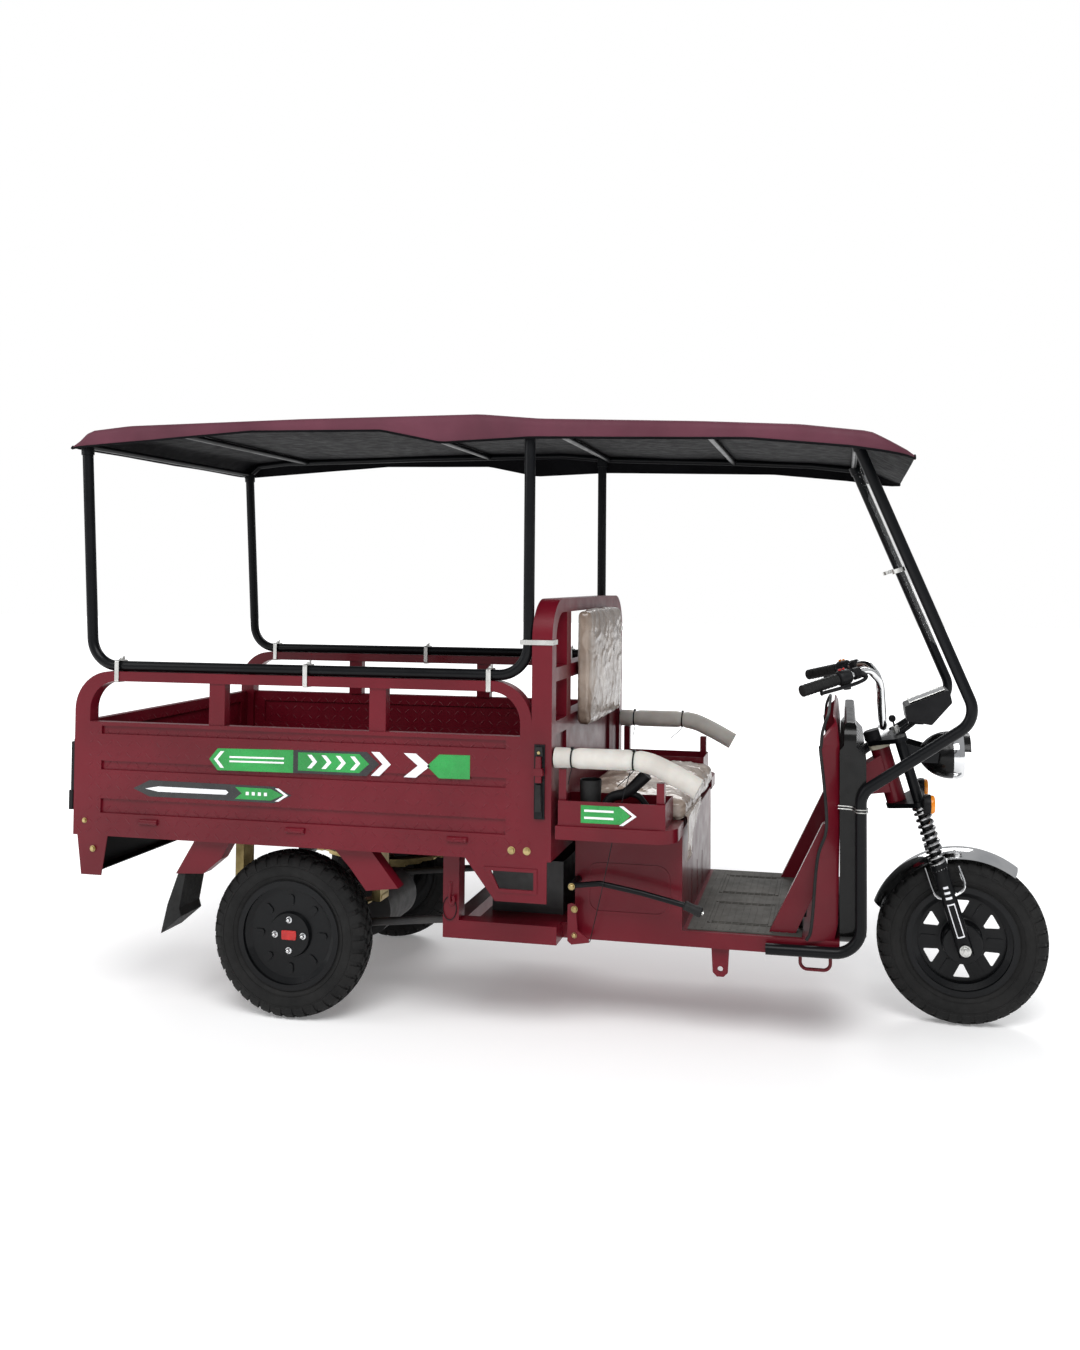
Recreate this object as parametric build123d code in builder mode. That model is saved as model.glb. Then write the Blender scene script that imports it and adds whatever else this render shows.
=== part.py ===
from build123d import *
import os
from math import atan, cos, degrees, hypot, radians, sin, tan

os.makedirs("parts", exist_ok=True)

# An electric cargo tricycle with a canopy. Lengths are in millimetres.
# X points forward, Y to the vehicle's left, Z up, with the origin on the ground under the middle of the whole.
# Stations are lengths ahead of the rear axle, negative behind it.

# Wheels and their places
wheelbase = 2020
rear_track = 786
tyre_r = 255
tyre_half_width = 49
tyre_crown_half_width = 38
tyre_shoulder_drop = 15
tyre_wall = 9
bead_half_width = 34
bead_width = 8
bead_r = 153
rim_flange_r = 166
rim_flange_half_width = 38
rim_well_r = 136
rim_well_half_width = 18
rim_wall = 3.5
front_hub_r = 60
front_hub_half_length = 60
rear_hub_cover_r = 70
drum_r = 98
front_axle_r = 8
spindle_r = 15
fit_gap = 0.3
bearing_gap = 0.05
moving_gap = 6

# Whole outline
roof_rear = -722
roof_front = 1861
roof_overhang = 12
rear_axle_x = -(wheelbase + tyre_r + roof_rear) / 2

# Load bed
bed_rear = -695
bed_half_width = 505
roof_half_width = bed_half_width + roof_overhang
deck_z = 604
deck_sheet = 4
deck_press = 2
deck_margin = 8
skirt_depth = 59
skirt_sheet = 3
skirt_flange = 45
rib_width = 36
rib_stations = (-620, -330, 0, 330, 523, 740)
gate_top_z = 898
gate_thick = 26
gate_groove = 7
gate_stile = 42
gate_bands = ((661, 750), (778, 861))
gate_edge = 12
rail_top_z = 1055
rail_height = 30
rail_depth = 40
rail_bend_r = 120
rear_post_width = 53
front_post_width = 34
mid_post_width = 52
mid_post_stations = (-208, 316)
hinge_r = 9
hinge_pin_r = 4
knuckle_length = 60
knuckle_stations = (-430, 60, 570)
tail_knuckles = (-330, 0, 330)
latch_bottom_z = 619
latch_top_z = 841

# Bulkhead behind the seat
bulkhead_rear = 790
bulkhead_depth = 60
column_width = 45
arch_top_z = 1293
arch_height = 40
arch_corner_r = 120
pad_bar_width = 50
pad_bar_y = 310
cross_bar_height = 40
cross_bar_z = (920, 1074)
pad_half_width = 250
pad_thick = 60
pad_bottom_z = 900
pad_top_z = 1255

# Floor frame and rider's place
floor_half_width = 350
floor_rail_width = 40
floor_rail_bottom_z = 285
floor_z = 330
floor_sheet = 3
floor_rear = 590
floor_front = 1655
mat_thick = 4
mat_margin = 14
seat_rear = 884
seat_front = 1205
seat_top_z = 620
cushion_height = 105
cushion_overhang = 9
post_rear = 498
post_size = 50
post_y = 400
outer_rail_front = 847
outer_rail_top_z = 338
lug_station = 1315
lug_hole_r = 8
lug_hole_z = 222
lug_r = 22
lug_thick = 8

# Arm trays and arm pads
tray_rear = 862
tray_front = 1208
tray_bottom_z = 611
tray_base_height = 38
tray_top_z = 720
tray_wall = 3
tray_post_size = 22
rear_post_station = 878
front_post_station = 1162
arm_pad_z = 838
arm_pad_r = 30
arm_pad_y = bed_half_width - arm_pad_r
arm_pad_bend = 1120
arm_pad_front = 1270
arm_pad_front_z = 764

# Canopy
hoop_r = 16
hoop_y = bed_half_width - rail_depth / 2
hoop_bend_r = 90
hoop_top_rear = -684
hoop_foot_rear = -648
pillar_lean = 23
pillar_knee_z = 970
pillar_neck = (1714, 754)
pillar_foot = (1714, 303)
pillar_end = (1448, 301)
pillar_bends = (70, 60, 75)
roof_rail_r = 11
bow_r = 9
bow_stations = (-430, 330, 800, 1270, 1700)
roof_rail_stations = (-640, -523, 55, 625, 807, 1272, 1548, 1725)
cover_thick = 4
visor_corner_r = 110

# The canopy cover's top edge and its hem seen from the side: station, height
cover_top = (
    (-722, 1758),
    (-665, 1811),
    (-523, 1824),
    (55, 1832),
    (625, 1833),
    (807, 1816),
    (1272, 1798),
    (1548, 1783),
    (1736, 1760),
    (1861, 1697),
)
cover_hem = ((1861, 1687), (1683, 1715), (1413, 1742), (783, 1757), (510, 1747), (321, 1787), (-101, 1793), (-722, 1755))

# Steering
rake = 17
head_station = 1800
head_z = 756
head_half_length = 92
head_tube_r = 30
stem_r = 16
crown_thick = 14
leg_y = 92
stanchion_r = 16
slider_r = 23
slider_length = 235
coil_r = 27
coil_count = 12
fender_r = 280
fender_from = 54
fender_to = 159
fender_half_width = 60
fender_drop = 24
fender_sheet = 2.5
bar_r = 11
grip_r = 17
grip_length = 125
lamp_station = 1996
lamp_z = 815
lamp_r = 72
bezel_depth = 29
signal_r = 27


def ahead(station):
    """X of a place that lies this far ahead of the rear axle."""
    return rear_axle_x + station


def left_face(y):
    """Upright plane at this Y, drawn in X and Z; extruding from it goes to the right."""
    return Plane.XZ.offset(-y)


def block(rear, front, right, left, bottom, top, mode=Mode.ADD):
    """A box between six faces, its ends given as stations."""
    with Locations((ahead((rear + front) / 2), (right + left) / 2, (bottom + top) / 2)):
        Box(front - rear, left - right, top - bottom, mode=mode)


def tube(points, bends, radius):
    """A bent round tube through points given in X, Y and Z."""
    with BuildLine() as path:
        if bends:
            FilletPolyline(*points, radius=bends)
        else:
            Line(*points)
    with BuildSketch(Plane(origin=path.line @ 0, z_dir=path.line % 0)) as section:
        Circle(radius)
    sweep(section.sketch, path=path.line)


def side_sheet(y, corners, thick, mode=Mode.ADD):
    """An upright sheet seen from the side, its outline given as stations and heights."""
    with BuildSketch(left_face(y)) as outline:
        with BuildLine():
            Polyline(*[(ahead(station), z) for station, z in corners], close=True)
        make_face()
    extrude(outline.sketch, amount=thick, mode=mode)


def finish(builder, label):
    """Names a finished piece and writes it."""
    builder.part.label = label
    export_step(builder.part, f"parts/{label}.step")


# Tyres, each a hollow section turned about its axle
shoulder_r = tyre_r - tyre_shoulder_drop
bead_top_r = rim_flange_r + 2
waist_r = (shoulder_r + bead_top_r) / 2


def make_tyre(label, x, y):
    inner_half_width = tyre_half_width - tyre_wall
    inner_crown = tyre_crown_half_width - tyre_wall
    inner_shoulder_r = shoulder_r - tyre_wall
    bead_inner = bead_half_width - bead_width
    with BuildPart() as body:
        with BuildSketch(Plane(origin=(x, y, tyre_r), x_dir=(0, 1, 0), z_dir=(1, 0, 0))):
            with BuildLine():
                Polyline((-bead_half_width, bead_top_r), (-bead_half_width, bead_r), (-bead_inner, bead_r))
                Line((-bead_inner, bead_r), (-bead_inner, bead_top_r))
                ThreePointArc((-bead_inner, bead_top_r), (-inner_half_width, waist_r), (-inner_crown, inner_shoulder_r))
                ThreePointArc((-inner_crown, inner_shoulder_r), (0, tyre_r - tyre_wall), (inner_crown, inner_shoulder_r))
                ThreePointArc((inner_crown, inner_shoulder_r), (inner_half_width, waist_r), (bead_inner, bead_top_r))
                Line((bead_inner, bead_top_r), (bead_inner, bead_r))
                Polyline((bead_inner, bead_r), (bead_half_width, bead_r), (bead_half_width, bead_top_r))
                ThreePointArc((bead_half_width, bead_top_r), (tyre_half_width, waist_r), (tyre_crown_half_width, shoulder_r))
                ThreePointArc((tyre_crown_half_width, shoulder_r), (0, tyre_r), (-tyre_crown_half_width, shoulder_r))
                ThreePointArc((-tyre_crown_half_width, shoulder_r), (-tyre_half_width, waist_r), (-bead_half_width, bead_top_r))
            make_face()
        revolve(axis=Axis((x, y, tyre_r), (0, 1, 0)))
    finish(body, label)


make_tyre("front_tyre", ahead(wheelbase), 0)
make_tyre("rear_tyre_right", ahead(0), -rear_track / 2)
make_tyre("rear_tyre_left", ahead(0), rear_track / 2)

# The rim's outer surface across its width: offset from the middle, radius
bead_seat_r = bead_r - fit_gap
rim_outer = (
    (-rim_flange_half_width, rim_flange_r),
    (-rim_flange_half_width + rim_wall, rim_flange_r),
    (-bead_half_width - fit_gap, bead_seat_r),
    (-bead_half_width + bead_width, bead_seat_r),
    (-rim_well_half_width, rim_well_r),
    (rim_well_half_width, rim_well_r),
    (bead_half_width - bead_width, bead_seat_r),
    (bead_half_width + fit_gap, bead_seat_r),
    (rim_flange_half_width - rim_wall, rim_flange_r),
    (rim_flange_half_width, rim_flange_r),
)
rim_inner = (
    (rim_flange_half_width, bead_seat_r - rim_wall),
    (bead_half_width - bead_width, bead_seat_r - rim_wall),
    (rim_well_half_width, rim_well_r - rim_wall),
    (-rim_well_half_width, rim_well_r - rim_wall),
    (-bead_half_width + bead_width, bead_seat_r - rim_wall),
    (-rim_flange_half_width, bead_seat_r - rim_wall),
)


def rim_barrel(x, y):
    """The rim's drop-centre ring, turned about the axle."""
    with BuildSketch(Plane(origin=(x, y, tyre_r), x_dir=(0, 1, 0), z_dir=(1, 0, 0))) as section:
        with BuildLine():
            Polyline(*rim_outer, *rim_inner, close=True)
        make_face()
    revolve(section.sketch, axis=Axis((x, y, tyre_r), (0, 1, 0)))


# Front rim: a disc with six windows and a hub that runs on the front axle
disc_thick = 5
window_inner_r = 78
window_outer_r = 118
window_count = 6
window_corner_r = 4
spoke_rib = 3
spoke_rib_width = 14
with BuildPart() as front_rim:
    rim_barrel(ahead(wheelbase), 0)
    with BuildSketch(Plane(origin=(ahead(wheelbase), disc_thick / 2, tyre_r), z_dir=(0, -1, 0))):
        Circle(rim_well_r - rim_wall / 2)
    extrude(amount=disc_thick)
    with BuildSketch(Plane(origin=(ahead(wheelbase), disc_thick / 2 + spoke_rib, tyre_r), z_dir=(0, -1, 0))):
        with PolarLocations((window_inner_r + window_outer_r) / 2, window_count, start_angle=180 / window_count):
            SlotOverall(window_outer_r - window_inner_r + 10, spoke_rib_width)
    extrude(amount=disc_thick + 2 * spoke_rib)
    with BuildSketch() as window:
        Trapezoid(52, window_outer_r - window_inner_r, 62, rotation=90)
        fillet(window.vertices(), window_corner_r)
    with BuildSketch(Plane(origin=(ahead(wheelbase), disc_thick / 2, tyre_r), z_dir=(0, -1, 0))):
        with PolarLocations((window_inner_r + window_outer_r) / 2, window_count):
            add(window.sketch)
    extrude(amount=disc_thick, mode=Mode.SUBTRACT)
    with BuildSketch(Plane(origin=(ahead(wheelbase), front_hub_half_length, tyre_r), z_dir=(0, -1, 0))):
        Circle(front_hub_r)
    extrude(amount=2 * front_hub_half_length)
    fillet(front_rim.edges().filter_by(GeomType.CIRCLE).filter_by(lambda e: abs(e.radius - front_hub_r) < 0.01), 6)
    with BuildSketch(Plane(origin=(ahead(wheelbase), front_hub_half_length, tyre_r), z_dir=(0, -1, 0))):
        Circle(front_axle_r + bearing_gap)
    extrude(amount=2 * front_hub_half_length, mode=Mode.SUBTRACT)
finish(front_rim, "front_rim")

# Rear rims: a dished disc with dimples, the hub cover outside and the brake drum inside
dish_offset = 18
dimple_count = 8
dimple_r = 104
spindle_length = 30


def make_rear_rim(label, side):
    middle = side * rear_track / 2
    outward = (0, side, 0)
    with BuildPart() as rim:
        rim_barrel(ahead(0), middle)
        with BuildSketch(Plane(origin=(ahead(0), middle + side * (dish_offset - disc_thick), tyre_r), z_dir=outward)):
            Circle(rim_well_r - rim_wall / 2)
        extrude(amount=disc_thick)
        with BuildSketch(Plane(origin=(ahead(0), middle + side * dish_offset, tyre_r), z_dir=outward)):
            with PolarLocations(dimple_r, dimple_count):
                SlotOverall(34, 20, mode=Mode.ADD)
        extrude(amount=4)
        with BuildSketch(Plane(origin=(ahead(0), middle + side * dish_offset, tyre_r), z_dir=outward)):
            Circle(rear_hub_cover_r)
        extrude(amount=12, taper=20)
        with BuildSketch(Plane(origin=(ahead(0), middle - side * rim_flange_half_width, tyre_r), z_dir=outward)):
            Circle(drum_r)
        extrude(amount=rim_flange_half_width + dish_offset - disc_thick)
        with BuildSketch(Plane(origin=(ahead(0), middle - side * rim_flange_half_width, tyre_r), z_dir=outward)):
            Circle(spindle_r + bearing_gap)
        extrude(amount=rim_flange_half_width + spindle_length, mode=Mode.SUBTRACT)
    finish(rim, label)


make_rear_rim("rear_rim_right", -1)
make_rear_rim("rear_rim_left", 1)

# Rear axle: beam, spindles, backing plates, differential and the motor beside it
beam_r = 28
backing_r = 95
backing_thick = 4
differential_r = 82
motor_r = 84
motor_station = 135
torque_rod_r = 12
torque_rod_y = 318
backing_y = rear_track / 2 - rim_flange_half_width - moving_gap
with BuildPart() as rear_axle:
    with BuildSketch(left_face(backing_y)):
        with Locations((ahead(0), tyre_r)):
            Circle(beam_r)
    extrude(amount=2 * backing_y)
    with BuildSketch(left_face(rear_track / 2 + spindle_length - fit_gap)):
        with Locations((ahead(0), tyre_r)):
            Circle(spindle_r)
    extrude(amount=rear_track + 2 * (spindle_length - fit_gap))
    for plate_y in (backing_y, -backing_y + backing_thick):
        with BuildSketch(left_face(plate_y)):
            with Locations((ahead(0), tyre_r)):
                Circle(backing_r)
        extrude(amount=backing_thick)
    with BuildSketch(left_face(70)):
        with Locations((ahead(0), tyre_r)):
            Circle(differential_r)
    extrude(amount=110)
    with BuildSketch(left_face(60)):
        with Locations((ahead(motor_station), tyre_r + 10)):
            Circle(motor_r)
    extrude(amount=220)
    block(0, motor_station, -35, 60, tyre_r - 60, tyre_r + 60)
    for side in (-1, 1):
        rod_end = (ahead(post_rear + torque_rod_r), side * torque_rod_y, floor_z - floor_rail_width / 2)
        tube(((ahead(0), side * torque_rod_y, tyre_r), rod_end), None, torque_rod_r)
    block(post_rear - fit_gap, post_rear + post_size, -backing_y, backing_y, floor_z - post_size, floor_z,
          mode=Mode.SUBTRACT)
finish(rear_axle, "rear_axle")

# Leaf springs under the bed frame's rails, each a stack of curved leaves on a pad on the axle
spring_y = 280
spring_width = 46
leaf_thick = 7
leaf_r = 900
leaf_half_lengths = (235, 205, 150, 95)
bed_rail_width = 40
bed_rail_bottom_z = 495
with BuildPart() as leaf_springs:
    pad_z = tyre_r + beam_r + fit_gap
    with BuildSketch(left_face(spring_y + spring_width / 2)):
        for number, half_length in enumerate(reversed(leaf_half_lengths)):
            low = pad_z + 8 + number * leaf_thick
            rise = half_length**2 / (2 * leaf_r)
            with BuildLine():
                bottom = ThreePointArc(
                    (ahead(-half_length), low + rise), (ahead(0), low), (ahead(half_length), low + rise)
                )
                top = ThreePointArc(
                    (ahead(-half_length), low + rise + leaf_thick),
                    (ahead(0), low + leaf_thick),
                    (ahead(half_length), low + rise + leaf_thick),
                )
                Line(bottom @ 0, top @ 0)
                Line(bottom @ 1, top @ 1)
            make_face()
        eye_z = pad_z + 8 + 3 * leaf_thick + leaf_half_lengths[0] ** 2 / (2 * leaf_r) + 10
        for station in (-leaf_half_lengths[0], leaf_half_lengths[0]):
            with Locations((ahead(station), eye_z)):
                Circle(16)
    extrude(amount=spring_width)
    for station in (-leaf_half_lengths[0], leaf_half_lengths[0]):
        block(station - 14, station + 14, spring_y - 32, spring_y + 32, eye_z - 12, bed_rail_bottom_z)
    block(-30, 30, spring_y - 30, spring_y + 30, pad_z, pad_z + 4 * leaf_thick + 16)
    mirror(about=Plane.XZ)
finish(leaf_springs, "leaf_springs")

# Bed frame: two long rails with cross members, and the posts that carry them on the floor frame
skirt_bottom_z = deck_z - skirt_depth
with BuildPart() as bed_frame:
    block(bed_rear + 40, bulkhead_rear, spring_y - bed_rail_width / 2, spring_y + bed_rail_width / 2,
          bed_rail_bottom_z, skirt_bottom_z)
    block(post_rear, post_rear + post_size, post_y - post_size / 2, post_y + post_size / 2,
          floor_rail_bottom_z, skirt_bottom_z)
    block(post_rear + post_size, outer_rail_front, post_y - post_size / 2, post_y + post_size / 2,
          floor_rail_bottom_z, outer_rail_top_z)
    mirror(about=Plane.XZ)
    for station in rib_stations:
        block(station - 15, station + 15, -spring_y, spring_y, bed_rail_bottom_z + 10, skirt_bottom_z)
    block(post_rear, post_rear + post_size, -post_y, post_y, floor_rail_bottom_z, floor_z - floor_sheet)
    block(outer_rail_front - 40, outer_rail_front, -post_y, post_y, floor_rail_bottom_z, floor_z - floor_sheet)
finish(bed_frame, "bed_frame")

# Floor frame: rails along both sides, cross members between them and a lug under each rail
loop_rear = 1544
loop_front = 1629
loop_z = 240
loop_r = 5
loop_bend_r = 20
rail_inner_y = floor_half_width - floor_rail_width
rail_middle_y = floor_half_width - floor_rail_width / 2
with BuildPart() as floor_frame:
    block(outer_rail_front, floor_front, rail_inner_y, floor_half_width, floor_rail_bottom_z, floor_z - floor_sheet)
    side_sheet(
        rail_middle_y + lug_thick / 2,
        ((lug_station - 26, floor_rail_bottom_z), (lug_station + 26, floor_rail_bottom_z),
         (lug_station + lug_r, lug_hole_z - 10), (lug_station + 10, lug_hole_z - lug_r),
         (lug_station - 10, lug_hole_z - lug_r), (lug_station - lug_r, lug_hole_z - 10)),
        lug_thick,
    )
    with BuildSketch(left_face(rail_middle_y + lug_thick / 2)):
        with Locations((ahead(lug_station), lug_hole_z)):
            Circle(lug_hole_r)
    extrude(amount=lug_thick, mode=Mode.SUBTRACT)
    mirror(about=Plane.XZ)
    for station in (870, 1220, 1450, floor_front - 20):
        block(station - 20, station + 20, -rail_inner_y, rail_inner_y, floor_rail_bottom_z, floor_z - floor_sheet)
    tube(
        [(ahead(station), -rail_middle_y, z)
         for station, z in ((loop_rear, floor_rail_bottom_z), (loop_rear, loop_z), (loop_front, loop_z),
                            (loop_front, floor_rail_bottom_z))],
        loop_bend_r,
        loop_r,
    )
finish(floor_frame, "floor_frame")

# Floorboard and its mat
with BuildPart() as floorboard:
    block(floor_rear, floor_front, -floor_half_width, floor_half_width, floor_z - floor_sheet, floor_z)
finish(floorboard, "floorboard")

shield_foot = 1563
with BuildPart() as floor_mat:
    block(seat_front + mat_margin, shield_foot - mat_margin, -floor_half_width + mat_margin,
          floor_half_width - mat_margin, floor_z, floor_z + mat_thick)
finish(floor_mat, "floor_mat")

# Bed floor: a folded deck with its skirt, flanges and ribs, and the gates' hinge knuckles
with BuildPart() as bed_floor:
    block(bed_rear, bulkhead_rear, -bed_half_width, bed_half_width, skirt_bottom_z, deck_z)
    block(bed_rear + skirt_sheet, bulkhead_rear - skirt_sheet, -bed_half_width + skirt_sheet,
          bed_half_width - skirt_sheet, skirt_bottom_z, deck_z - deck_sheet, mode=Mode.SUBTRACT)
    block(bed_rear + gate_thick + deck_margin, bulkhead_rear - deck_margin, -bed_half_width + rail_depth + deck_margin,
          bed_half_width - rail_depth - deck_margin, deck_z - deck_sheet, deck_z + deck_press)
    for side in (-1, 1):
        edge = side * (bed_half_width - skirt_flange)
        wall = side * (bed_half_width - skirt_sheet)
        block(bed_rear, bulkhead_rear, min(edge, wall), max(edge, wall), skirt_bottom_z,
              skirt_bottom_z + skirt_sheet)
        for station in knuckle_stations:
            with BuildSketch(Plane.YZ.offset(ahead(station - knuckle_length / 2))):
                with Locations((side * bed_half_width, deck_z - hinge_r)):
                    Circle(hinge_r)
            extrude(amount=knuckle_length)
    for station in rib_stations:
        block(station - rib_width / 2, station + rib_width / 2, -bed_half_width + skirt_sheet,
              bed_half_width - skirt_sheet, skirt_bottom_z, deck_z - deck_sheet)
    for middle in tail_knuckles:
        block(bed_rear - hinge_r, bed_rear, middle - knuckle_length / 2, middle + knuckle_length / 2,
              deck_z - 2 * hinge_r, deck_z - hinge_r)
        with BuildSketch(left_face(middle + knuckle_length / 2)):
            with Locations((ahead(bed_rear - hinge_r), deck_z - hinge_r)):
                Circle(hinge_r)
        extrude(amount=knuckle_length)
        with BuildSketch(left_face(middle + knuckle_length / 2)):
            with Locations((ahead(bed_rear - hinge_r), deck_z - hinge_r)):
                Circle(hinge_pin_r + bearing_gap)
        extrude(amount=knuckle_length, mode=Mode.SUBTRACT)
finish(bed_floor, "bed_floor")

# Side gates: pressed panels whose raised bands stand between the end stiles
gate_rear = bed_rear + rear_post_width
gate_front = bulkhead_rear - front_post_width
panel_rear = gate_rear + gate_stile
panel_front = gate_front - gate_stile
gate_grooves = (
    (deck_z + gate_edge, gate_bands[0][0]),
    (gate_bands[0][1], gate_bands[1][0]),
    (gate_bands[1][1], gate_top_z - gate_edge),
)
with BuildPart() as side_gates:
    block(gate_rear, gate_front, bed_half_width - gate_thick, bed_half_width, deck_z, gate_top_z)
    for low, high in gate_grooves:
        block(panel_rear, panel_front, bed_half_width - gate_groove, bed_half_width, low, high, mode=Mode.SUBTRACT)
    for low, high in gate_bands:
        inner_y = bed_half_width - gate_thick
        block(panel_rear, panel_front, inner_y, inner_y + gate_groove, low, high, mode=Mode.SUBTRACT)
    mirror(about=Plane.XZ)
finish(side_gates, "side_gates")

# Side rails: a bent rail whose ends run down beside the gate as its end posts, with two short posts
with BuildPart() as side_rails:
    with BuildSketch(left_face(bed_half_width)):
        with BuildLine():
            FilletPolyline(
                (ahead(bed_rear), deck_z),
                (ahead(bed_rear), rail_top_z),
                (ahead(bulkhead_rear), rail_top_z),
                (ahead(bulkhead_rear), deck_z),
                radius=rail_bend_r,
            )
            Line((ahead(bulkhead_rear), deck_z), (ahead(gate_front), deck_z))
            FilletPolyline(
                (ahead(gate_front), deck_z),
                (ahead(gate_front), rail_top_z - rail_height),
                (ahead(gate_rear), rail_top_z - rail_height),
                (ahead(gate_rear), deck_z),
                radius=rail_bend_r - rail_height,
            )
            Line((ahead(gate_rear), deck_z), (ahead(bed_rear), deck_z))
        make_face()
    extrude(amount=rail_depth)
    for station in mid_post_stations:
        block(station - mid_post_width / 2, station + mid_post_width / 2, bed_half_width - rail_depth + 6,
              bed_half_width - 4, gate_top_z, rail_top_z - rail_height)
    mirror(about=Plane.XZ)
finish(side_rails, "side_rails")

# Tailgate: the same pressed panel across the back, swinging on knuckles at its foot
tail_half_width = bed_half_width - rail_depth - moving_gap
tail_bottom_z = deck_z + moving_gap
tail_rear = bed_rear + 3
tail_front = tail_rear + gate_thick
with BuildPart() as tailgate:
    block(tail_rear, tail_front, -tail_half_width, tail_half_width, tail_bottom_z, gate_top_z)
    for low, high in gate_grooves:
        block(tail_rear, tail_rear + gate_groove, -tail_half_width + gate_stile, tail_half_width - gate_stile,
              max(low, tail_bottom_z + gate_edge), high, mode=Mode.SUBTRACT)
    for low, high in gate_bands:
        block(tail_front - gate_groove, tail_front, -tail_half_width + gate_stile, tail_half_width - gate_stile,
              low, high, mode=Mode.SUBTRACT)
    for middle in tail_knuckles:
        for side in (-1, 1):
            start = middle + side * (knuckle_length + 1)
            block(bed_rear - hinge_r - 4, bed_rear - hinge_r, start - knuckle_length / 2,
                  start + knuckle_length / 2, deck_z - hinge_r, tail_bottom_z + 30)
            block(bed_rear - hinge_r - 4, tail_rear, start - knuckle_length / 2, start + knuckle_length / 2,
                  tail_bottom_z + 2, tail_bottom_z + 30)
            with BuildSketch(left_face(start + knuckle_length / 2)):
                with Locations((ahead(bed_rear - hinge_r), deck_z - hinge_r)):
                    Circle(hinge_r)
            extrude(amount=knuckle_length)
        with BuildSketch(left_face(middle + knuckle_length)):
            with Locations((ahead(bed_rear - hinge_r), deck_z - hinge_r)):
                Circle(hinge_pin_r)
        extrude(amount=2 * knuckle_length)
finish(tailgate, "tailgate")

# Corner latches: on the rear posts and on the front columns, each a bracket with its lever and handle
column_latch_rear = 800
column_latch_front = 831
column_latch_low_z = 666
column_latch_top_z = 878
# The column latch's parts: rear and front stations, depth off the column, lowest and highest height
column_latch_steps = (
    (column_latch_rear + 3, column_latch_front - 3, 7, column_latch_top_z - 48, column_latch_top_z - 6),
    (column_latch_rear + 8, column_latch_front - 9, 10, column_latch_low_z + 66, column_latch_top_z - 52),
    (column_latch_rear + 5, column_latch_front - 5, 11, column_latch_low_z + 4, column_latch_low_z + 62),
)
with BuildPart() as corner_latches:
    block(bed_rear - 8, bed_rear, bed_half_width - 34, bed_half_width - 8, latch_top_z - 70, latch_top_z)
    block(bed_rear - 20, bed_rear - 8, bed_half_width - 30, bed_half_width - 12, latch_bottom_z + 60,
          latch_top_z - 10)
    block(bed_rear - 25, bed_rear - 12, bed_half_width - 32, bed_half_width - 10, latch_bottom_z,
          latch_bottom_z + 60)
    block(column_latch_rear, column_latch_front, bed_half_width, bed_half_width + 4, column_latch_low_z,
          column_latch_top_z)
    for rear, front, depth, low, high in column_latch_steps:
        block(rear, front, bed_half_width, bed_half_width + depth, low, high)
    mirror(about=Plane.XZ)
finish(corner_latches, "corner_latches")

# Bulkhead frame: columns and arch in one bent frame, with cross bars, pad bars and the lower panel
bulkhead_front = bulkhead_rear + bulkhead_depth
opening_half_width = bed_half_width - column_width
with BuildPart() as bulkhead_frame:
    with BuildSketch(Plane.YZ.offset(ahead(bulkhead_rear))):
        with BuildLine():
            FilletPolyline(
                (-bed_half_width, skirt_bottom_z),
                (-bed_half_width, arch_top_z),
                (bed_half_width, arch_top_z),
                (bed_half_width, skirt_bottom_z),
                radius=arch_corner_r,
            )
            Line((bed_half_width, skirt_bottom_z), (-bed_half_width, skirt_bottom_z))
        make_face()
        with BuildLine():
            FilletPolyline(
                (-opening_half_width, deck_z),
                (-opening_half_width, arch_top_z - arch_height),
                (opening_half_width, arch_top_z - arch_height),
                (opening_half_width, deck_z),
                radius=arch_corner_r - arch_height,
            )
            Line((opening_half_width, deck_z), (-opening_half_width, deck_z))
        make_face(mode=Mode.SUBTRACT)
    extrude(amount=bulkhead_depth)
    for z in cross_bar_z:
        block(bulkhead_rear + 10, bulkhead_front, -opening_half_width, opening_half_width,
              z - cross_bar_height / 2, z + cross_bar_height / 2)
    for side in (-1, 1):
        block(bulkhead_rear + 10, bulkhead_front, side * pad_bar_y - pad_bar_width / 2,
              side * pad_bar_y + pad_bar_width / 2, deck_z, arch_top_z - arch_height)
    block(bulkhead_front - 12, bulkhead_front - 9, -opening_half_width, opening_half_width, deck_z, cross_bar_z[0])
    block(bulkhead_front - 24, bulkhead_front - 9, -opening_half_width, opening_half_width, 750, 778)
finish(bulkhead_frame, "bulkhead_frame")

# Backrest pad
with BuildPart() as backrest_pad:
    block(bulkhead_front + fit_gap, bulkhead_front + pad_thick, -pad_half_width, pad_half_width, pad_bottom_z, pad_top_z)
    fillet(backrest_pad.edges().filter_by(Axis.X), 30)
    fillet(backrest_pad.faces().sort_by(Axis.X)[-1].edges(), 16)
finish(backrest_pad, "backrest_pad")

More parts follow.
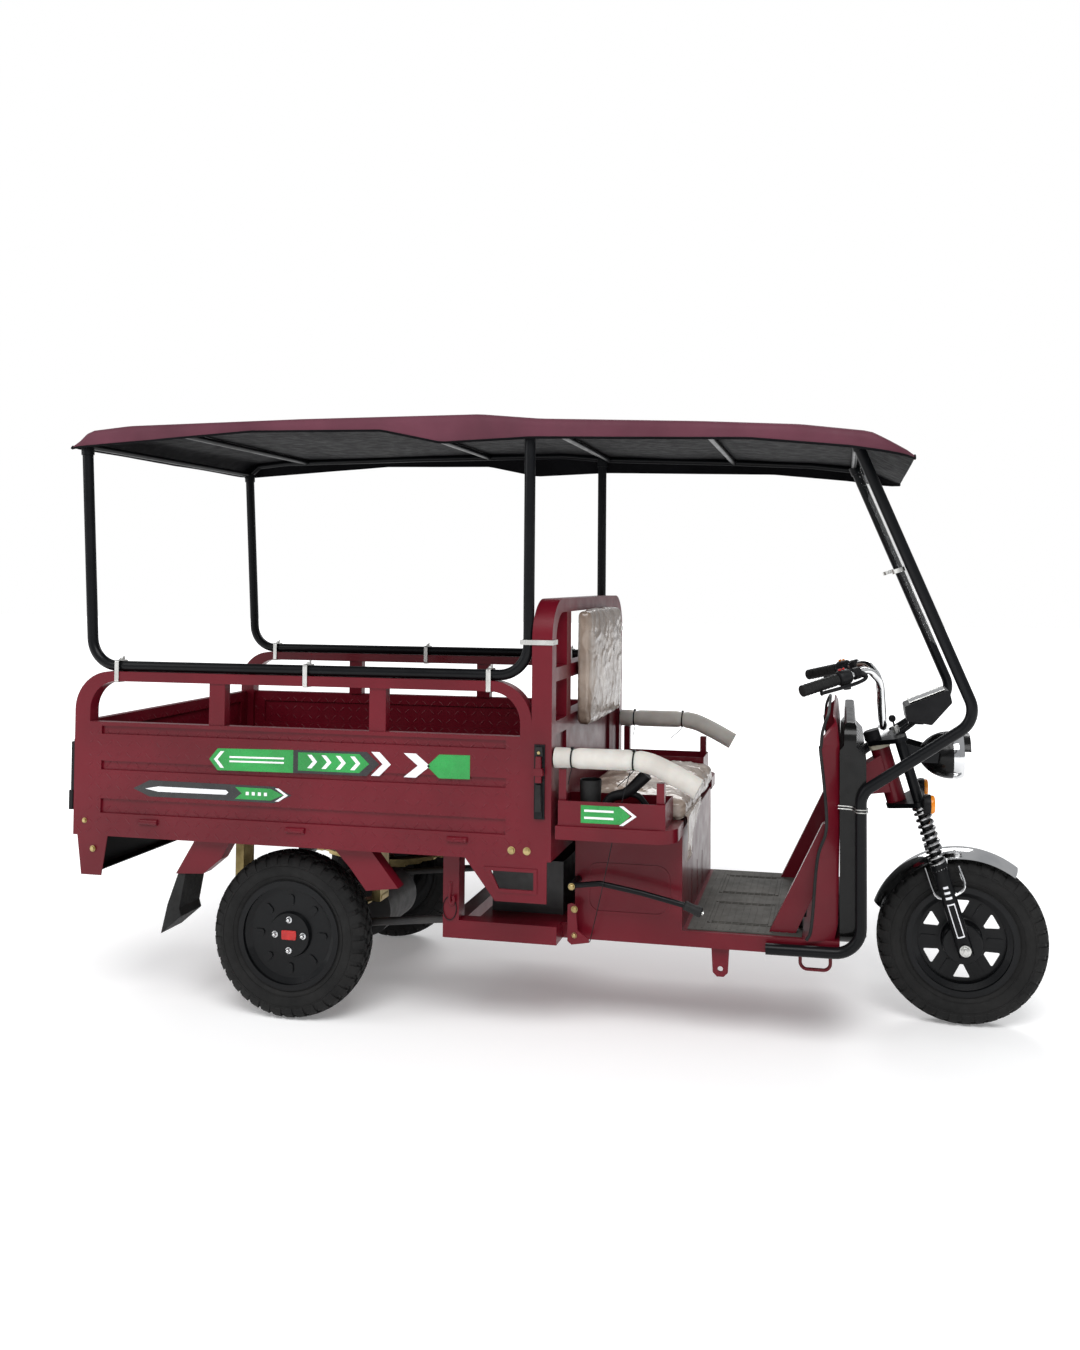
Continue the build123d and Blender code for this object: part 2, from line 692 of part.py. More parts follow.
# Seat box of folded sheet, and its cushion
box_wall = 3
box_press = 2
slot_places = (-140, -15, 110)
slot_width = 12
slot_low_z = 342
slot_high_z = 454
panel_middle = 1045
panel_middle_z = 438
panel_length = 250
panel_height = 150
panel_corner_r = 40
panel_rib = 9
with BuildPart() as seat_box:
    block(seat_rear, seat_front, -floor_half_width, floor_half_width, floor_z, seat_top_z)
    block(seat_rear + box_wall, seat_front - box_wall, -floor_half_width + box_wall, floor_half_width - box_wall,
          floor_z, seat_top_z - box_wall, mode=Mode.SUBTRACT)
    for slot_y in slot_places:
        block(seat_front - box_wall, seat_front, slot_y - slot_width / 2, slot_y + slot_width / 2, slot_low_z,
              slot_high_z, mode=Mode.SUBTRACT)
    for side in (-1, 1):
        with BuildSketch(left_face(side * (floor_half_width + box_press / 2) + box_press / 2)):
            with Locations((ahead(panel_middle), panel_middle_z)):
                RectangleRounded(panel_length, panel_height, panel_corner_r)
                RectangleRounded(panel_length - 2 * panel_rib, panel_height - 2 * panel_rib,
                                 panel_corner_r - panel_rib, mode=Mode.SUBTRACT)
        extrude(amount=box_press)
finish(seat_box, "seat_box")

with BuildPart() as seat_cushion:
    block(bulkhead_front + 24, seat_front + cushion_overhang, -floor_half_width + 4, floor_half_width - 4,
          seat_top_z + fit_gap, seat_top_z + cushion_height)
    fillet(seat_cushion.edges().filter_by(Axis.Z), 40)
    fillet(seat_cushion.faces().sort_by(Axis.Z)[-1].edges(), 26)
finish(seat_cushion, "seat_cushion")

# Battery box and the controller tray in front of it
with BuildPart() as battery_box:
    block(floor_rear + 15, bulkhead_rear + 40, -spring_y, spring_y, floor_z, bed_rail_bottom_z - 5)
finish(battery_box, "battery_box")

# Arm trays: a folded base with an open box on it and two posts up to the arm pad, which slopes down in front
tray_outer_y = bed_half_width
pad_slope = (arm_pad_z - arm_pad_front_z) / (arm_pad_front - arm_pad_bend)
front_post_edge = front_post_station + tray_post_size / 2
front_post_top_z = arm_pad_z - pad_slope * (front_post_edge - arm_pad_bend) - arm_pad_r * hypot(1, pad_slope) - fit_gap
tray_posts = ((rear_post_station, arm_pad_z - arm_pad_r - fit_gap), (front_post_station, front_post_top_z))
with BuildPart() as arm_trays:
    block(tray_rear, tray_front, floor_half_width, tray_outer_y, tray_bottom_z, tray_bottom_z + tray_base_height)
    fillet(arm_trays.edges().filter_by(Axis.Z).sort_by(Axis.X)[-2:].sort_by(Axis.Y)[-1], 60)
    block(tray_rear + 6, tray_front - 30, floor_half_width + 6, tray_outer_y - 8,
          tray_bottom_z + tray_base_height, tray_top_z)
    block(tray_rear + 6 + tray_wall, tray_front - 30 - tray_wall, floor_half_width + 6 + tray_wall,
          tray_outer_y - 8 - tray_wall, tray_bottom_z + tray_base_height, tray_top_z, mode=Mode.SUBTRACT)
    for station, top_z in tray_posts:
        block(station - tray_post_size / 2, station + tray_post_size / 2, arm_pad_y - tray_post_size / 2,
              arm_pad_y + tray_post_size / 2, tray_bottom_z + tray_base_height, top_z)
    mirror(about=Plane.XZ)
finish(arm_trays, "arm_trays")

with BuildPart() as arm_pads:
    tube(
        ((ahead(bulkhead_front + 4), arm_pad_y, arm_pad_z), (ahead(arm_pad_bend), arm_pad_y, arm_pad_z),
         (ahead(arm_pad_front), arm_pad_y, arm_pad_front_z)),
        120,
        arm_pad_r,
    )
    mirror(about=Plane.XZ)
finish(arm_pads, "arm_pads")

# Side plates under the bed: the windowed gusset in front and the corner plate behind
gusset_low_z = 426
plate_low_z = 423
border_press = 3
gusset_outline = ((593, skirt_bottom_z), (838, skirt_bottom_z), (838, gusset_low_z), (685, gusset_low_z))
border_outline = ((652, 523), (810, 523), (810, 452), (691, 452))
window_outline = ((672, 513), (800, 513), (800, 462), (697, 462))
corner_outline = ((-680, skirt_bottom_z), (-574, skirt_bottom_z), (-594, plate_low_z), (-664, plate_low_z))
with BuildPart() as side_plates:
    side_sheet(bed_half_width, gusset_outline, skirt_sheet)
    side_sheet(bed_half_width + border_press, border_outline, border_press)
    side_sheet(bed_half_width + border_press, window_outline, skirt_sheet + border_press, mode=Mode.SUBTRACT)
    side_sheet(bed_half_width, corner_outline, skirt_sheet)
    mirror(about=Plane.XZ)
finish(side_plates, "side_plates")

# Tail panel across the back under the bed, and its lamps
tail_plane = -664
lamp_edge_y = bed_half_width - 35
lamp_length = 140
lamp_low_z = 455
lamp_high_z = 525
with BuildPart() as tail_panel:
    block(tail_plane, tail_plane + skirt_sheet + 1, -bed_half_width + skirt_sheet, bed_half_width - skirt_sheet,
          plate_low_z + 2, skirt_bottom_z)
    block(tail_plane + skirt_sheet + 1, tail_plane + 34, -bed_half_width + skirt_sheet, bed_half_width - skirt_sheet,
          plate_low_z + 2, plate_low_z + 6)
finish(tail_panel, "tail_panel")

with BuildPart() as tail_lamps:
    block(tail_plane - 20, tail_plane, lamp_edge_y - lamp_length, lamp_edge_y, lamp_low_z, lamp_high_z)
    fillet(tail_lamps.edges().filter_by(Axis.X), 14)
    mirror(about=Plane.XZ)
finish(tail_lamps, "tail_lamps")

# Brackets on both sides of each rear wheel, and the flap behind it
bracket_y = bed_half_width - 23
bracket_width = 44
bracket_outlines = (
    ((-286, skirt_bottom_z), (-167, skirt_bottom_z), (-200, 488), (-257, 442), (-350, 437)),
    ((171, skirt_bottom_z), (290, skirt_bottom_z), (379, 436), (278, 423), (226, 488)),
)
with BuildPart() as mud_brackets:
    for outline in bracket_outlines:
        side_sheet(bracket_y, outline, bracket_width)
    mirror(about=Plane.XZ)
finish(mud_brackets, "mud_brackets")

with BuildPart() as mud_flaps:
    side_sheet(bracket_y - 4, ((-345, 436.7), (-320, 436.7), (-340, 330), (-333, 306), (-401, 249), (-380, 340)), 110)
    mirror(about=Plane.XZ)
finish(mud_flaps, "mud_flaps")

# Red leg shield: a pressed panel whose sides flare back to the rider, with braces to the floor
shield_sheet = 4
shield_half_width = 372
shield_flare = 34
shield_edge_width = 6
# Sections of the shield from the floor up: height, station of its side edges, station of its panel
shield_sections = (
    (floor_z, shield_foot, 1636),
    (375, 1577, 1646),
    (562, 1593, 1650),
    (648, 1618, 1650),
    (759, 1613, 1650),
    (885, 1601, 1650),
    (940, 1612, 1644),
    (962, 1623, 1636),
)
brace_outline = ((1455, floor_z + mat_thick), (1530, floor_z + mat_thick), (1652, 600), (1652, 665), (1606, 650))
brace_y = 300
brace_width = 30
with BuildPart() as leg_shield:
    for z, edge, panel in shield_sections:
        panel_half_width = shield_half_width - shield_flare
        with BuildSketch(Plane.XY.offset(z)):
            with BuildLine():
                Polyline(
                    (ahead(edge), -shield_half_width),
                    (ahead(panel + shield_sheet), -panel_half_width),
                    (ahead(panel + shield_sheet), panel_half_width),
                    (ahead(edge), shield_half_width),
                    (ahead(edge), shield_half_width - shield_edge_width),
                    (ahead(panel), panel_half_width - shield_edge_width),
                    (ahead(panel), -panel_half_width + shield_edge_width),
                    (ahead(edge), -shield_half_width + shield_edge_width),
                    close=True,
                )
            make_face()
    loft(ruled=True)
    with BuildSketch(Plane.YZ.offset(ahead(shield_foot))):
        with BuildLine():
            FilletPolyline(
                (-shield_half_width, floor_z),
                (-shield_half_width, shield_sections[-1][0]),
                (shield_half_width, shield_sections[-1][0]),
                (shield_half_width, floor_z),
                radius=90,
            )
            Line((shield_half_width, floor_z), (-shield_half_width, floor_z))
        make_face()
    extrude(amount=floor_front - shield_foot, mode=Mode.INTERSECT)
    for side in (-1, 1):
        side_sheet(side * brace_y + brace_width / 2, brace_outline, brace_width)
finish(leg_shield, "leg_shield")

# Black fairing in front of the shield: a padded-looking slab with a raised lip, hollow behind, with a window for the
# neck
fairing_half_width = 349
fairing_rear = 1655
fairing_front = 1729
fairing_low_z = 317
fairing_shoulder_z = 868
fairing_lip_z = 946
fairing_lip_front = 1702
fairing_corner_r = 50
fairing_wall = 4
neck_half_width = 42
with BuildPart() as front_fairing:
    with BuildSketch(left_face(fairing_half_width)) as fairing_profile:
        with BuildLine():
            Polyline(
                (ahead(fairing_rear), fairing_low_z),
                (ahead(fairing_rear), fairing_shoulder_z),
                (ahead(fairing_rear + 12), fairing_shoulder_z + 14),
                (ahead(fairing_rear + 14), fairing_lip_z),
                (ahead(fairing_lip_front), fairing_lip_z),
                (ahead(fairing_lip_front), fairing_shoulder_z + 8),
                (ahead(fairing_front), fairing_shoulder_z - 20),
                (ahead(fairing_front), fairing_low_z + 30),
                (ahead(fairing_front - 22), fairing_low_z),
                close=True,
            )
        make_face()
        fillet(fairing_profile.vertices().sort_by(Axis.Y)[-2:], 12)
    extrude(amount=2 * fairing_half_width)
    with BuildSketch(Plane.YZ.offset(ahead(fairing_rear))):
        with Locations((0, (fairing_low_z + fairing_lip_z) / 2)):
            RectangleRounded(2 * fairing_half_width, fairing_lip_z - fairing_low_z, fairing_corner_r)
    extrude(amount=fairing_front - fairing_rear, mode=Mode.INTERSECT)
    block(fairing_rear, fairing_front - fairing_wall, -fairing_half_width + fairing_corner_r,
          fairing_half_width - fairing_corner_r, fairing_low_z + 34, fairing_shoulder_z - 24, mode=Mode.SUBTRACT)
    block(fairing_front - 30, fairing_front, -neck_half_width - 2, neck_half_width + 2, 670, 800, mode=Mode.SUBTRACT)
    block(fairing_rear, 1707, -32, 32, fairing_low_z - 7, fairing_low_z + 34, mode=Mode.SUBTRACT)
finish(front_fairing, "front_fairing")

# Steering axis: unit vectors up along it and square to it, ahead
axis_up = Vector(-sin(radians(rake)), 0, cos(radians(rake)))
axis_ahead = Vector(cos(radians(rake)), 0, sin(radians(rake)))
head_centre = Vector(ahead(head_station), 0, head_z)
front_axle = Vector(ahead(wheelbase), 0, tyre_r)
axle_along = (front_axle - head_centre).dot(axis_up)
leg_offset = (front_axle - head_centre).dot(axis_ahead)


def on_fork(along, forward=0, side=0):
    """A place given along the steering axis, square ahead of it and to the left."""
    return head_centre + axis_up * along + axis_ahead * forward + Vector(0, side, 0)


def fork_plane(along):
    """A plane square to the steering axis, drawn ahead and to the left."""
    return Plane(origin=on_fork(along), x_dir=axis_ahead, z_dir=axis_up)


# Head frame: head tube on a box neck, with the down tube that stands on the floor frame
with BuildPart() as head_frame:
    with BuildSketch(left_face(neck_half_width)):
        with BuildLine():
            Polyline(
                (ahead(1668), 700), (ahead(1668), 790), (ahead(1730), 780), (ahead(1778), 812),
                (ahead(1808), 700), (ahead(1736), 690), close=True,
            )
        make_face()
    extrude(amount=2 * neck_half_width)
    block(1665, 1705, -30, 30, floor_rail_bottom_z, 760)
    block(floor_front, 1665, -30, 30, floor_rail_bottom_z, floor_z - floor_sheet)
    with BuildSketch(fork_plane(-head_half_length)):
        Circle(head_tube_r)
    extrude(amount=2 * head_half_length)
    with BuildSketch(fork_plane(-head_half_length)):
        Circle(stem_r + bearing_gap)
    extrude(amount=2 * head_half_length, mode=Mode.SUBTRACT)
finish(head_frame, "head_frame")

# Fork: crowns, stem, stanchions, sliders and the front axle
ear_y = lamp_r + 1
ear_thick = 5
ear_outline = ((1828, 862), (1846, 800), (1945, 800), (1950, 830))
lamp_pivot_station = 1932
cluster_outline = ((1848, 967), (1854, 923), (1929, 913), (1989, 983), (1980, 1023))
cluster_seat_z = 915.7
crown_low = -head_half_length - 1 - crown_thick
crown_high = head_half_length + 1
slider_top = axle_along + slider_length
with BuildPart() as fork:
    for along in (crown_low, crown_high):
        with BuildSketch(fork_plane(along)):
            Circle(34)
            for side in (-1, 1):
                with Locations((leg_offset, side * leg_y)):
                    Circle(stanchion_r + 8)
            make_hull()
        extrude(amount=crown_thick)
    with BuildSketch(fork_plane(crown_low)):
        Circle(stem_r)
    extrude(amount=crown_high - crown_low + crown_thick)
    for side in (-1, 1):
        with BuildSketch(fork_plane(slider_top)):
            with Locations((leg_offset, side * leg_y)):
                Circle(stanchion_r)
        extrude(amount=crown_high + crown_thick - slider_top)
        with BuildSketch(fork_plane(axle_along - slider_r)):
            with Locations((leg_offset, side * leg_y)):
                Circle(slider_r)
        extrude(amount=slider_length + slider_r)
    with BuildSketch(left_face(leg_y + slider_r + 6)):
        with Locations((front_axle.X, front_axle.Z)):
            Circle(front_axle_r)
    extrude(amount=2 * (leg_y + slider_r + 6))
    for side in (-1, 1):
        side_sheet(side * (ear_y + ear_thick / 2) + ear_thick / 2, ear_outline, ear_thick)
        tube((on_fork(crown_high + 6, 52, side * 30), (ahead(1878), side * 30, cluster_seat_z - 3)), None, 6)
    block(1862, 1906, -50, 50, cluster_seat_z - 4, cluster_seat_z)
finish(fork, "fork")

# Leg springs: ribbed sleeves between the sliders and the lower crown
coil_pitch = (crown_low - slider_top - 2 * fit_gap) / coil_count
with BuildPart() as fork_springs:
    leg_plane = Plane(origin=on_fork(slider_top + fit_gap, leg_offset, leg_y), x_dir=axis_ahead, z_dir=(0, -1, 0))
    with BuildSketch(leg_plane):
        with Locations(((stanchion_r + fit_gap + 21) / 2, coil_pitch * coil_count / 2)):
            Rectangle(21 - stanchion_r - fit_gap, coil_pitch * coil_count)
        for turn in range(coil_count):
            with Locations((coil_r - 6, (turn + 0.5) * coil_pitch)):
                Circle(5)
    revolve(axis=Axis(on_fork(slider_top, leg_offset, leg_y), axis_up))
    mirror(about=Plane.XZ)
finish(fork_springs, "fork_springs")

# Chrome fender round the front wheel, with its stays to the sliders
fender_start = Vector(cos(radians(fender_from)), 0, sin(radians(fender_from)))
with BuildPart() as front_fender:
    with BuildSketch(Plane(origin=front_axle, x_dir=(0, 1, 0), z_dir=Vector(0, 1, 0).cross(fender_start))):
        with BuildLine():
            outer = ThreePointArc(
                (-fender_half_width, fender_r - fender_drop), (0, fender_r), (fender_half_width, fender_r - fender_drop)
            )
            inner = ThreePointArc(
                (-fender_half_width + fender_sheet, fender_r - fender_drop),
                (0, fender_r - fender_sheet),
                (fender_half_width - fender_sheet, fender_r - fender_drop),
            )
            Line(outer @ 0, inner @ 0)
            Line(outer @ 1, inner @ 1)
        make_face()
    revolve(axis=Axis(front_axle, (0, -1, 0)), revolution_arc=fender_to - fender_from)
    side_sheet(fender_half_width + 4, ((1938, 512), (1974, 512), (1972, 440), (1946, 440)), 4.5)
    block(1952, 1962, fender_half_width + 4, leg_y - slider_r - fit_gap, 440, 462)
    mirror(about=Plane.XZ)
finish(front_fender, "front_fender")

# Handlebar, bent up from the upper crown and swept back to the grips
bar_clamp = on_fork(crown_high + crown_thick + 34, 28)
bar_points = ((1776, 100, 1045), (1740, 140, 1085), (1550, 290, 1029))
bar_bends = (40, 60, 50)
grip_end = Vector(ahead(bar_points[-1][0]), bar_points[-1][1], bar_points[-1][2])
bar_shoulder = Vector(ahead(bar_points[-2][0]), bar_points[-2][1], bar_points[-2][2])
grip_direction = (grip_end - bar_shoulder).normalized()
grip_start = grip_end - grip_direction * grip_length
with BuildPart() as handlebar:
    tube(
        (
            tuple(bar_clamp),
            tuple(bar_clamp + Vector(0, 60, 0)),
            *[(ahead(station), y, z) for station, y, z in bar_points[:-1]],
            tuple(grip_start),
        ),
        bar_bends,
        bar_r,
    )
    mirror(about=Plane.XZ)
    with BuildSketch(fork_plane(crown_high + crown_thick)):
        with Locations((28, 0)):
            Rectangle(30, 64)
    extrude(amount=34)
finish(handlebar, "handlebar")

with BuildPart() as grips:
    tube((tuple(grip_start), tuple(grip_end)), None, grip_r)
    mirror(about=Plane.XZ)
finish(grips, "grips")

# Headlamp: a shell turned about its own axis, and the glass in the bezel
lamp_back = lamp_station - 96
peak_sheet = 3
peak_depth = 20
with BuildPart() as headlamp_shell:
    with BuildSketch(Plane.XZ):
        with BuildLine():
            Line((ahead(lamp_back), lamp_z), (ahead(lamp_back), lamp_z + 26))
            ThreePointArc(
                (ahead(lamp_back), lamp_z + 26),
                (ahead(lamp_back + 34), lamp_z + 58),
                (ahead(lamp_station), lamp_z + lamp_r),
            )
            Line((ahead(lamp_station), lamp_z + lamp_r), (ahead(lamp_station + bezel_depth), lamp_z + lamp_r - 4))
            Line((ahead(lamp_station + bezel_depth), lamp_z + lamp_r - 4), (ahead(lamp_station + bezel_depth), lamp_z + 60))
            Line((ahead(lamp_station + bezel_depth), lamp_z + 60), (ahead(lamp_station + 10), lamp_z + 58))
            Line((ahead(lamp_station + 10), lamp_z + 58), (ahead(lamp_station + 10), lamp_z))
            Line((ahead(lamp_station + 10), lamp_z), (ahead(lamp_back), lamp_z))
        make_face()
    revolve(axis=Axis((ahead(lamp_back), 0, lamp_z), (1, 0, 0)))
    with BuildSketch(Plane.YZ.offset(ahead(lamp_station + bezel_depth - 4))):
        with Locations((0, lamp_z)):
            Circle(lamp_r - 4)
            Circle(lamp_r - 4 - peak_sheet, mode=Mode.SUBTRACT)
            with Locations((0, -lamp_r / 2 + 10)):
                Rectangle(2 * lamp_r, lamp_r + 20, mode=Mode.SUBTRACT)
    extrude(amount=peak_depth + 4)
    with BuildSketch(left_face(ear_y - fit_gap)):
        with Locations((ahead(lamp_pivot_station), lamp_z)):
            Circle(8)
    extrude(amount=2 * (ear_y - fit_gap))
finish(headlamp_shell, "headlamp_shell")

with BuildPart() as headlamp_lens:
    with BuildSketch(Plane.YZ.offset(ahead(lamp_station + 10 + fit_gap))):
        with Locations((0, lamp_z)):
            Circle(57)
    extrude(amount=12)
finish(headlamp_lens, "headlamp_lens")

# Turn signals on short stalks from the legs
with BuildPart() as turn_signals:
    with BuildSketch(Plane.YZ.offset(ahead(1902))):
        with Locations((140, 687)):
            Circle(signal_r)
    extrude(amount=30)
    fillet(turn_signals.faces().sort_by(Axis.X)[-1].edges(), 8)
    mirror(about=Plane.XZ)
finish(turn_signals, "turn_signals")

# Instrument cluster over the headlamp
with BuildPart() as instrument_cluster:
    side_sheet(72, cluster_outline, 144)
    fillet(instrument_cluster.edges().filter_by(Axis.Y), 8)
finish(instrument_cluster, "instrument_cluster")


def roof_z(station):
    """Height of the cover's top at a station, between the points of its outline."""
    for (rear, rear_z), (front, front_z) in zip(cover_top, cover_top[1:]):
        if rear <= station <= front:
            return rear_z + (front_z - rear_z) * (station - rear) / (front - rear)
    raise ValueError(station)


# Canopy cover: the side outline drawn across the roof, rounded at the visor, hollow and open below
floor_of_roof = 1600


def plan_outline(inset):
    """The cover seen from above, with the visor's corners rounded."""
    half_width = roof_half_width - inset
    front = ahead(roof_front - inset)
    rear = ahead(roof_rear)
    with BuildSketch(Plane.XY.offset(floor_of_roof)) as plan:
        with BuildLine():
            FilletPolyline(
                (rear, -half_width), (front, -half_width), (front, half_width), (rear, half_width),
                radius=visor_corner_r - inset,
            )
            Line((rear, half_width), (rear, -half_width))
        make_face()
    return plan.sketch


with BuildPart() as roof_hollow:
    with BuildSketch(left_face(roof_half_width)):
        with BuildLine():
            Polyline(
                *[(ahead(station), z) for station, z in cover_top],
                (ahead(roof_front), floor_of_roof),
                (ahead(roof_rear), floor_of_roof),
                close=True,
            )
        make_face()
        offset(amount=-cover_thick, kind=Kind.INTERSECTION)
    extrude(amount=2 * roof_half_width)
    extrude(plan_outline(cover_thick), amount=300, mode=Mode.INTERSECT)

with BuildPart() as canopy_cover:
    with BuildSketch(left_face(roof_half_width)):
        with BuildLine():
            Polyline(*[(ahead(station), z) for station, z in cover_top + cover_hem], close=True)
        make_face()
    extrude(amount=2 * roof_half_width)
    extrude(plan_outline(0), amount=300, mode=Mode.INTERSECT)
    add(roof_hollow.part, mode=Mode.SUBTRACT)
finish(canopy_cover, "canopy_cover")

# Roof frame: a rail along each side under the cover, the bows between them, and a socket for each post
rail_drop = cover_thick + roof_rail_r + fit_gap + 0.2
hoop_z = rail_top_z + hoop_r + fit_gap
hoop_front = bulkhead_rear - hoop_r - fit_gap
pillar_y = floor_half_width + hoop_r + fit_gap
lean = tan(radians(pillar_lean))
pillar_bow_z = roof_z(bow_stations[-1]) - rail_drop
socket_depth = 28
socket_wall = 3
rail_rear = (hoop_top_rear, roof_z(hoop_top_rear) - rail_drop - 14)
hoop_lean = degrees(atan((hoop_foot_rear - hoop_top_rear) / (rail_rear[1] - hoop_z)))
post_tops = (
    (hoop_top_rear, hoop_y, rail_rear[1], hoop_lean),
    (hoop_front, hoop_y, roof_z(hoop_front) - rail_drop, 0),
    (bow_stations[-1], pillar_y, pillar_bow_z, pillar_lean),
)
with BuildPart() as roof_frame:
    tube(
        [
            (ahead(rail_rear[0]), hoop_y, rail_rear[1]),
            *[(ahead(station), hoop_y, roof_z(station) - rail_drop) for station in roof_rail_stations],
        ],
        [14] + [40] * (len(roof_rail_stations) - 2),
        roof_rail_r,
    )
    mirror(about=Plane.XZ)
    for station, z in (rail_rear, *[(station, roof_z(station) - rail_drop) for station in bow_stations]):
        tube(((ahead(station), -hoop_y, z), (ahead(station), hoop_y, z)), None, bow_r)
    for station, y, z, lean_angle in post_tops:
        for side in (-1, 1):
            down = (sin(radians(lean_angle)), 0, -cos(radians(lean_angle)))
            mouth = Plane(origin=(ahead(station), side * y, z), z_dir=down)
            with BuildSketch(mouth):
                Circle(hoop_r + socket_wall)
            extrude(amount=socket_depth)
            with BuildSketch(mouth.offset(bow_r)):
                Circle(hoop_r + fit_gap)
            extrude(amount=socket_depth, mode=Mode.SUBTRACT)
finish(roof_frame, "roof_frame")

# Side hoops: rear post, bottom rail and middle post in one bent tube, on the bed's side rail
post_seat = bow_r + fit_gap
with BuildPart() as side_hoops:
    tube(
        (
            (ahead(hoop_top_rear) + post_seat * sin(radians(hoop_lean)), hoop_y, rail_rear[1] - post_seat),
            (ahead(hoop_foot_rear), hoop_y, hoop_z),
            (ahead(hoop_front), hoop_y, hoop_z),
            (ahead(hoop_front), hoop_y, post_tops[1][2] - post_seat),
        ),
        hoop_bend_r,
        hoop_r,
    )
    mirror(about=Plane.XZ)
finish(side_hoops, "side_hoops")

# Front pillars: from the front bow down to the knee, back to the fairing and under the floor's edge
pillar_top = bow_stations[-1] + post_seat * sin(radians(pillar_lean))
pillar_top_z = pillar_bow_z - post_seat * cos(radians(pillar_lean))
pillar_knee = (pillar_top + (pillar_top_z - pillar_knee_z) * lean, pillar_knee_z)
with BuildPart() as front_pillars:
    tube(
        [(ahead(station), pillar_y, z)
         for station, z in ((pillar_top, pillar_top_z), pillar_knee, pillar_neck, pillar_foot, pillar_end)],
        pillar_bends,
        hoop_r,
    )
    mirror(about=Plane.XZ)
finish(front_pillars, "front_pillars")

# Windscreen: a clear sheet between the pillars, from under the roof to above the knee
screen_thick = 3
screen_low_z = 1150
screen_top_z = pillar_top_z - socket_depth
screen_edge_y = floor_half_width
with BuildPart() as windscreen:
    with BuildSketch(left_face(screen_edge_y)):
        with BuildLine():
            Polyline(
                *[(ahead(pillar_knee[0] - (z - pillar_knee[1]) * lean + shift), z)
                  for z, shift in ((screen_low_z, 0), (screen_top_z, 0), (screen_top_z, screen_thick),
                                   (screen_low_z, screen_thick))],
                close=True,
            )
        make_face()
    extrude(amount=2 * screen_edge_y)
finish(windscreen, "windscreen")

# Clamps that tie the hoops to the side rails
clamp_strap = 3
clamp_width = 14
clamp_stations = (-550, 85, 660)
column_clamp_z = hoop_z + hoop_bend_r + fit_gap + clamp_width / 2
with BuildPart() as tube_clamps:
    clamp_bottom = rail_top_z - rail_height - fit_gap
    clamp_top = hoop_z + hoop_r + fit_gap
    for station in clamp_stations:
        with BuildSketch(Plane.YZ.offset(ahead(station - clamp_width / 2))):
            with Locations((bed_half_width - rail_depth / 2, (clamp_bottom + clamp_top) / 2)):
                RectangleRounded(rail_depth + 2 * (fit_gap + clamp_strap), clamp_top - clamp_bottom + 2 * clamp_strap, 6)
                Rectangle(rail_depth + 2 * fit_gap, clamp_top - clamp_bottom, mode=Mode.SUBTRACT)
        extrude(amount=clamp_width)
    for grow, mode in ((clamp_strap, Mode.ADD), (0, Mode.SUBTRACT)):
        block(hoop_front - hoop_r - fit_gap - grow, bulkhead_front + fit_gap + grow,
              bed_half_width - column_width - fit_gap - grow, bed_half_width + fit_gap + grow,
              column_clamp_z - clamp_width / 2, column_clamp_z + clamp_width / 2, mode=mode)
    mirror(about=Plane.XZ)
finish(tube_clamps, "tube_clamps")

# Parking-brake lever beside the seat box, on its pivot, and the rocker plate below
lever_y = 420
lever_path = ((893, 460), (976, 471), (1094, 452), (1224, 424))
lever_end = (1268, 407)
rocker_y = 388
rocker_thick = 5
rocker_pin = (893, 308)
rocker_outline = ((884, 401), (872, 396), (872, 290), (884, 280), (937, 289), (936, 300), (902, 322), (896, 396))
with BuildPart() as brake_lever:
    tube([(ahead(station), -lever_y, z) for station, z in lever_path], (60, 200), 8)
    tube([(ahead(station), -lever_y, z) for station, z in (lever_path[-1], lever_end)], None, 12)
    with BuildSketch(left_face(-floor_half_width)):
        with Locations((ahead(lever_path[0][0]), lever_path[0][1])):
            Circle(12)
    extrude(amount=lever_y - floor_half_width + 10)
    side_sheet(-rocker_y, rocker_outline, rocker_thick)
    with BuildSketch(left_face(-floor_half_width)):
        with Locations((ahead(rocker_pin[0]), rocker_pin[1])):
            Circle(7)
    extrude(amount=rocker_y + rocker_thick + 3 - floor_half_width)
finish(brake_lever, "brake_lever")

# Brake pedal on the floor
with BuildPart() as brake_pedal:
    block(1535, 1560, -285, -215, floor_z + mat_thick + 40, floor_z + mat_thick + 52)
    block(1536, 1548, -258, -242, floor_z + mat_thick, floor_z + mat_thick + 40)
finish(brake_pedal, "brake_pedal")
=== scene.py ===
import math

import bmesh
import bpy
from mathutils import Matrix, Vector, noise
from mathutils.bvhtree import BVHTree


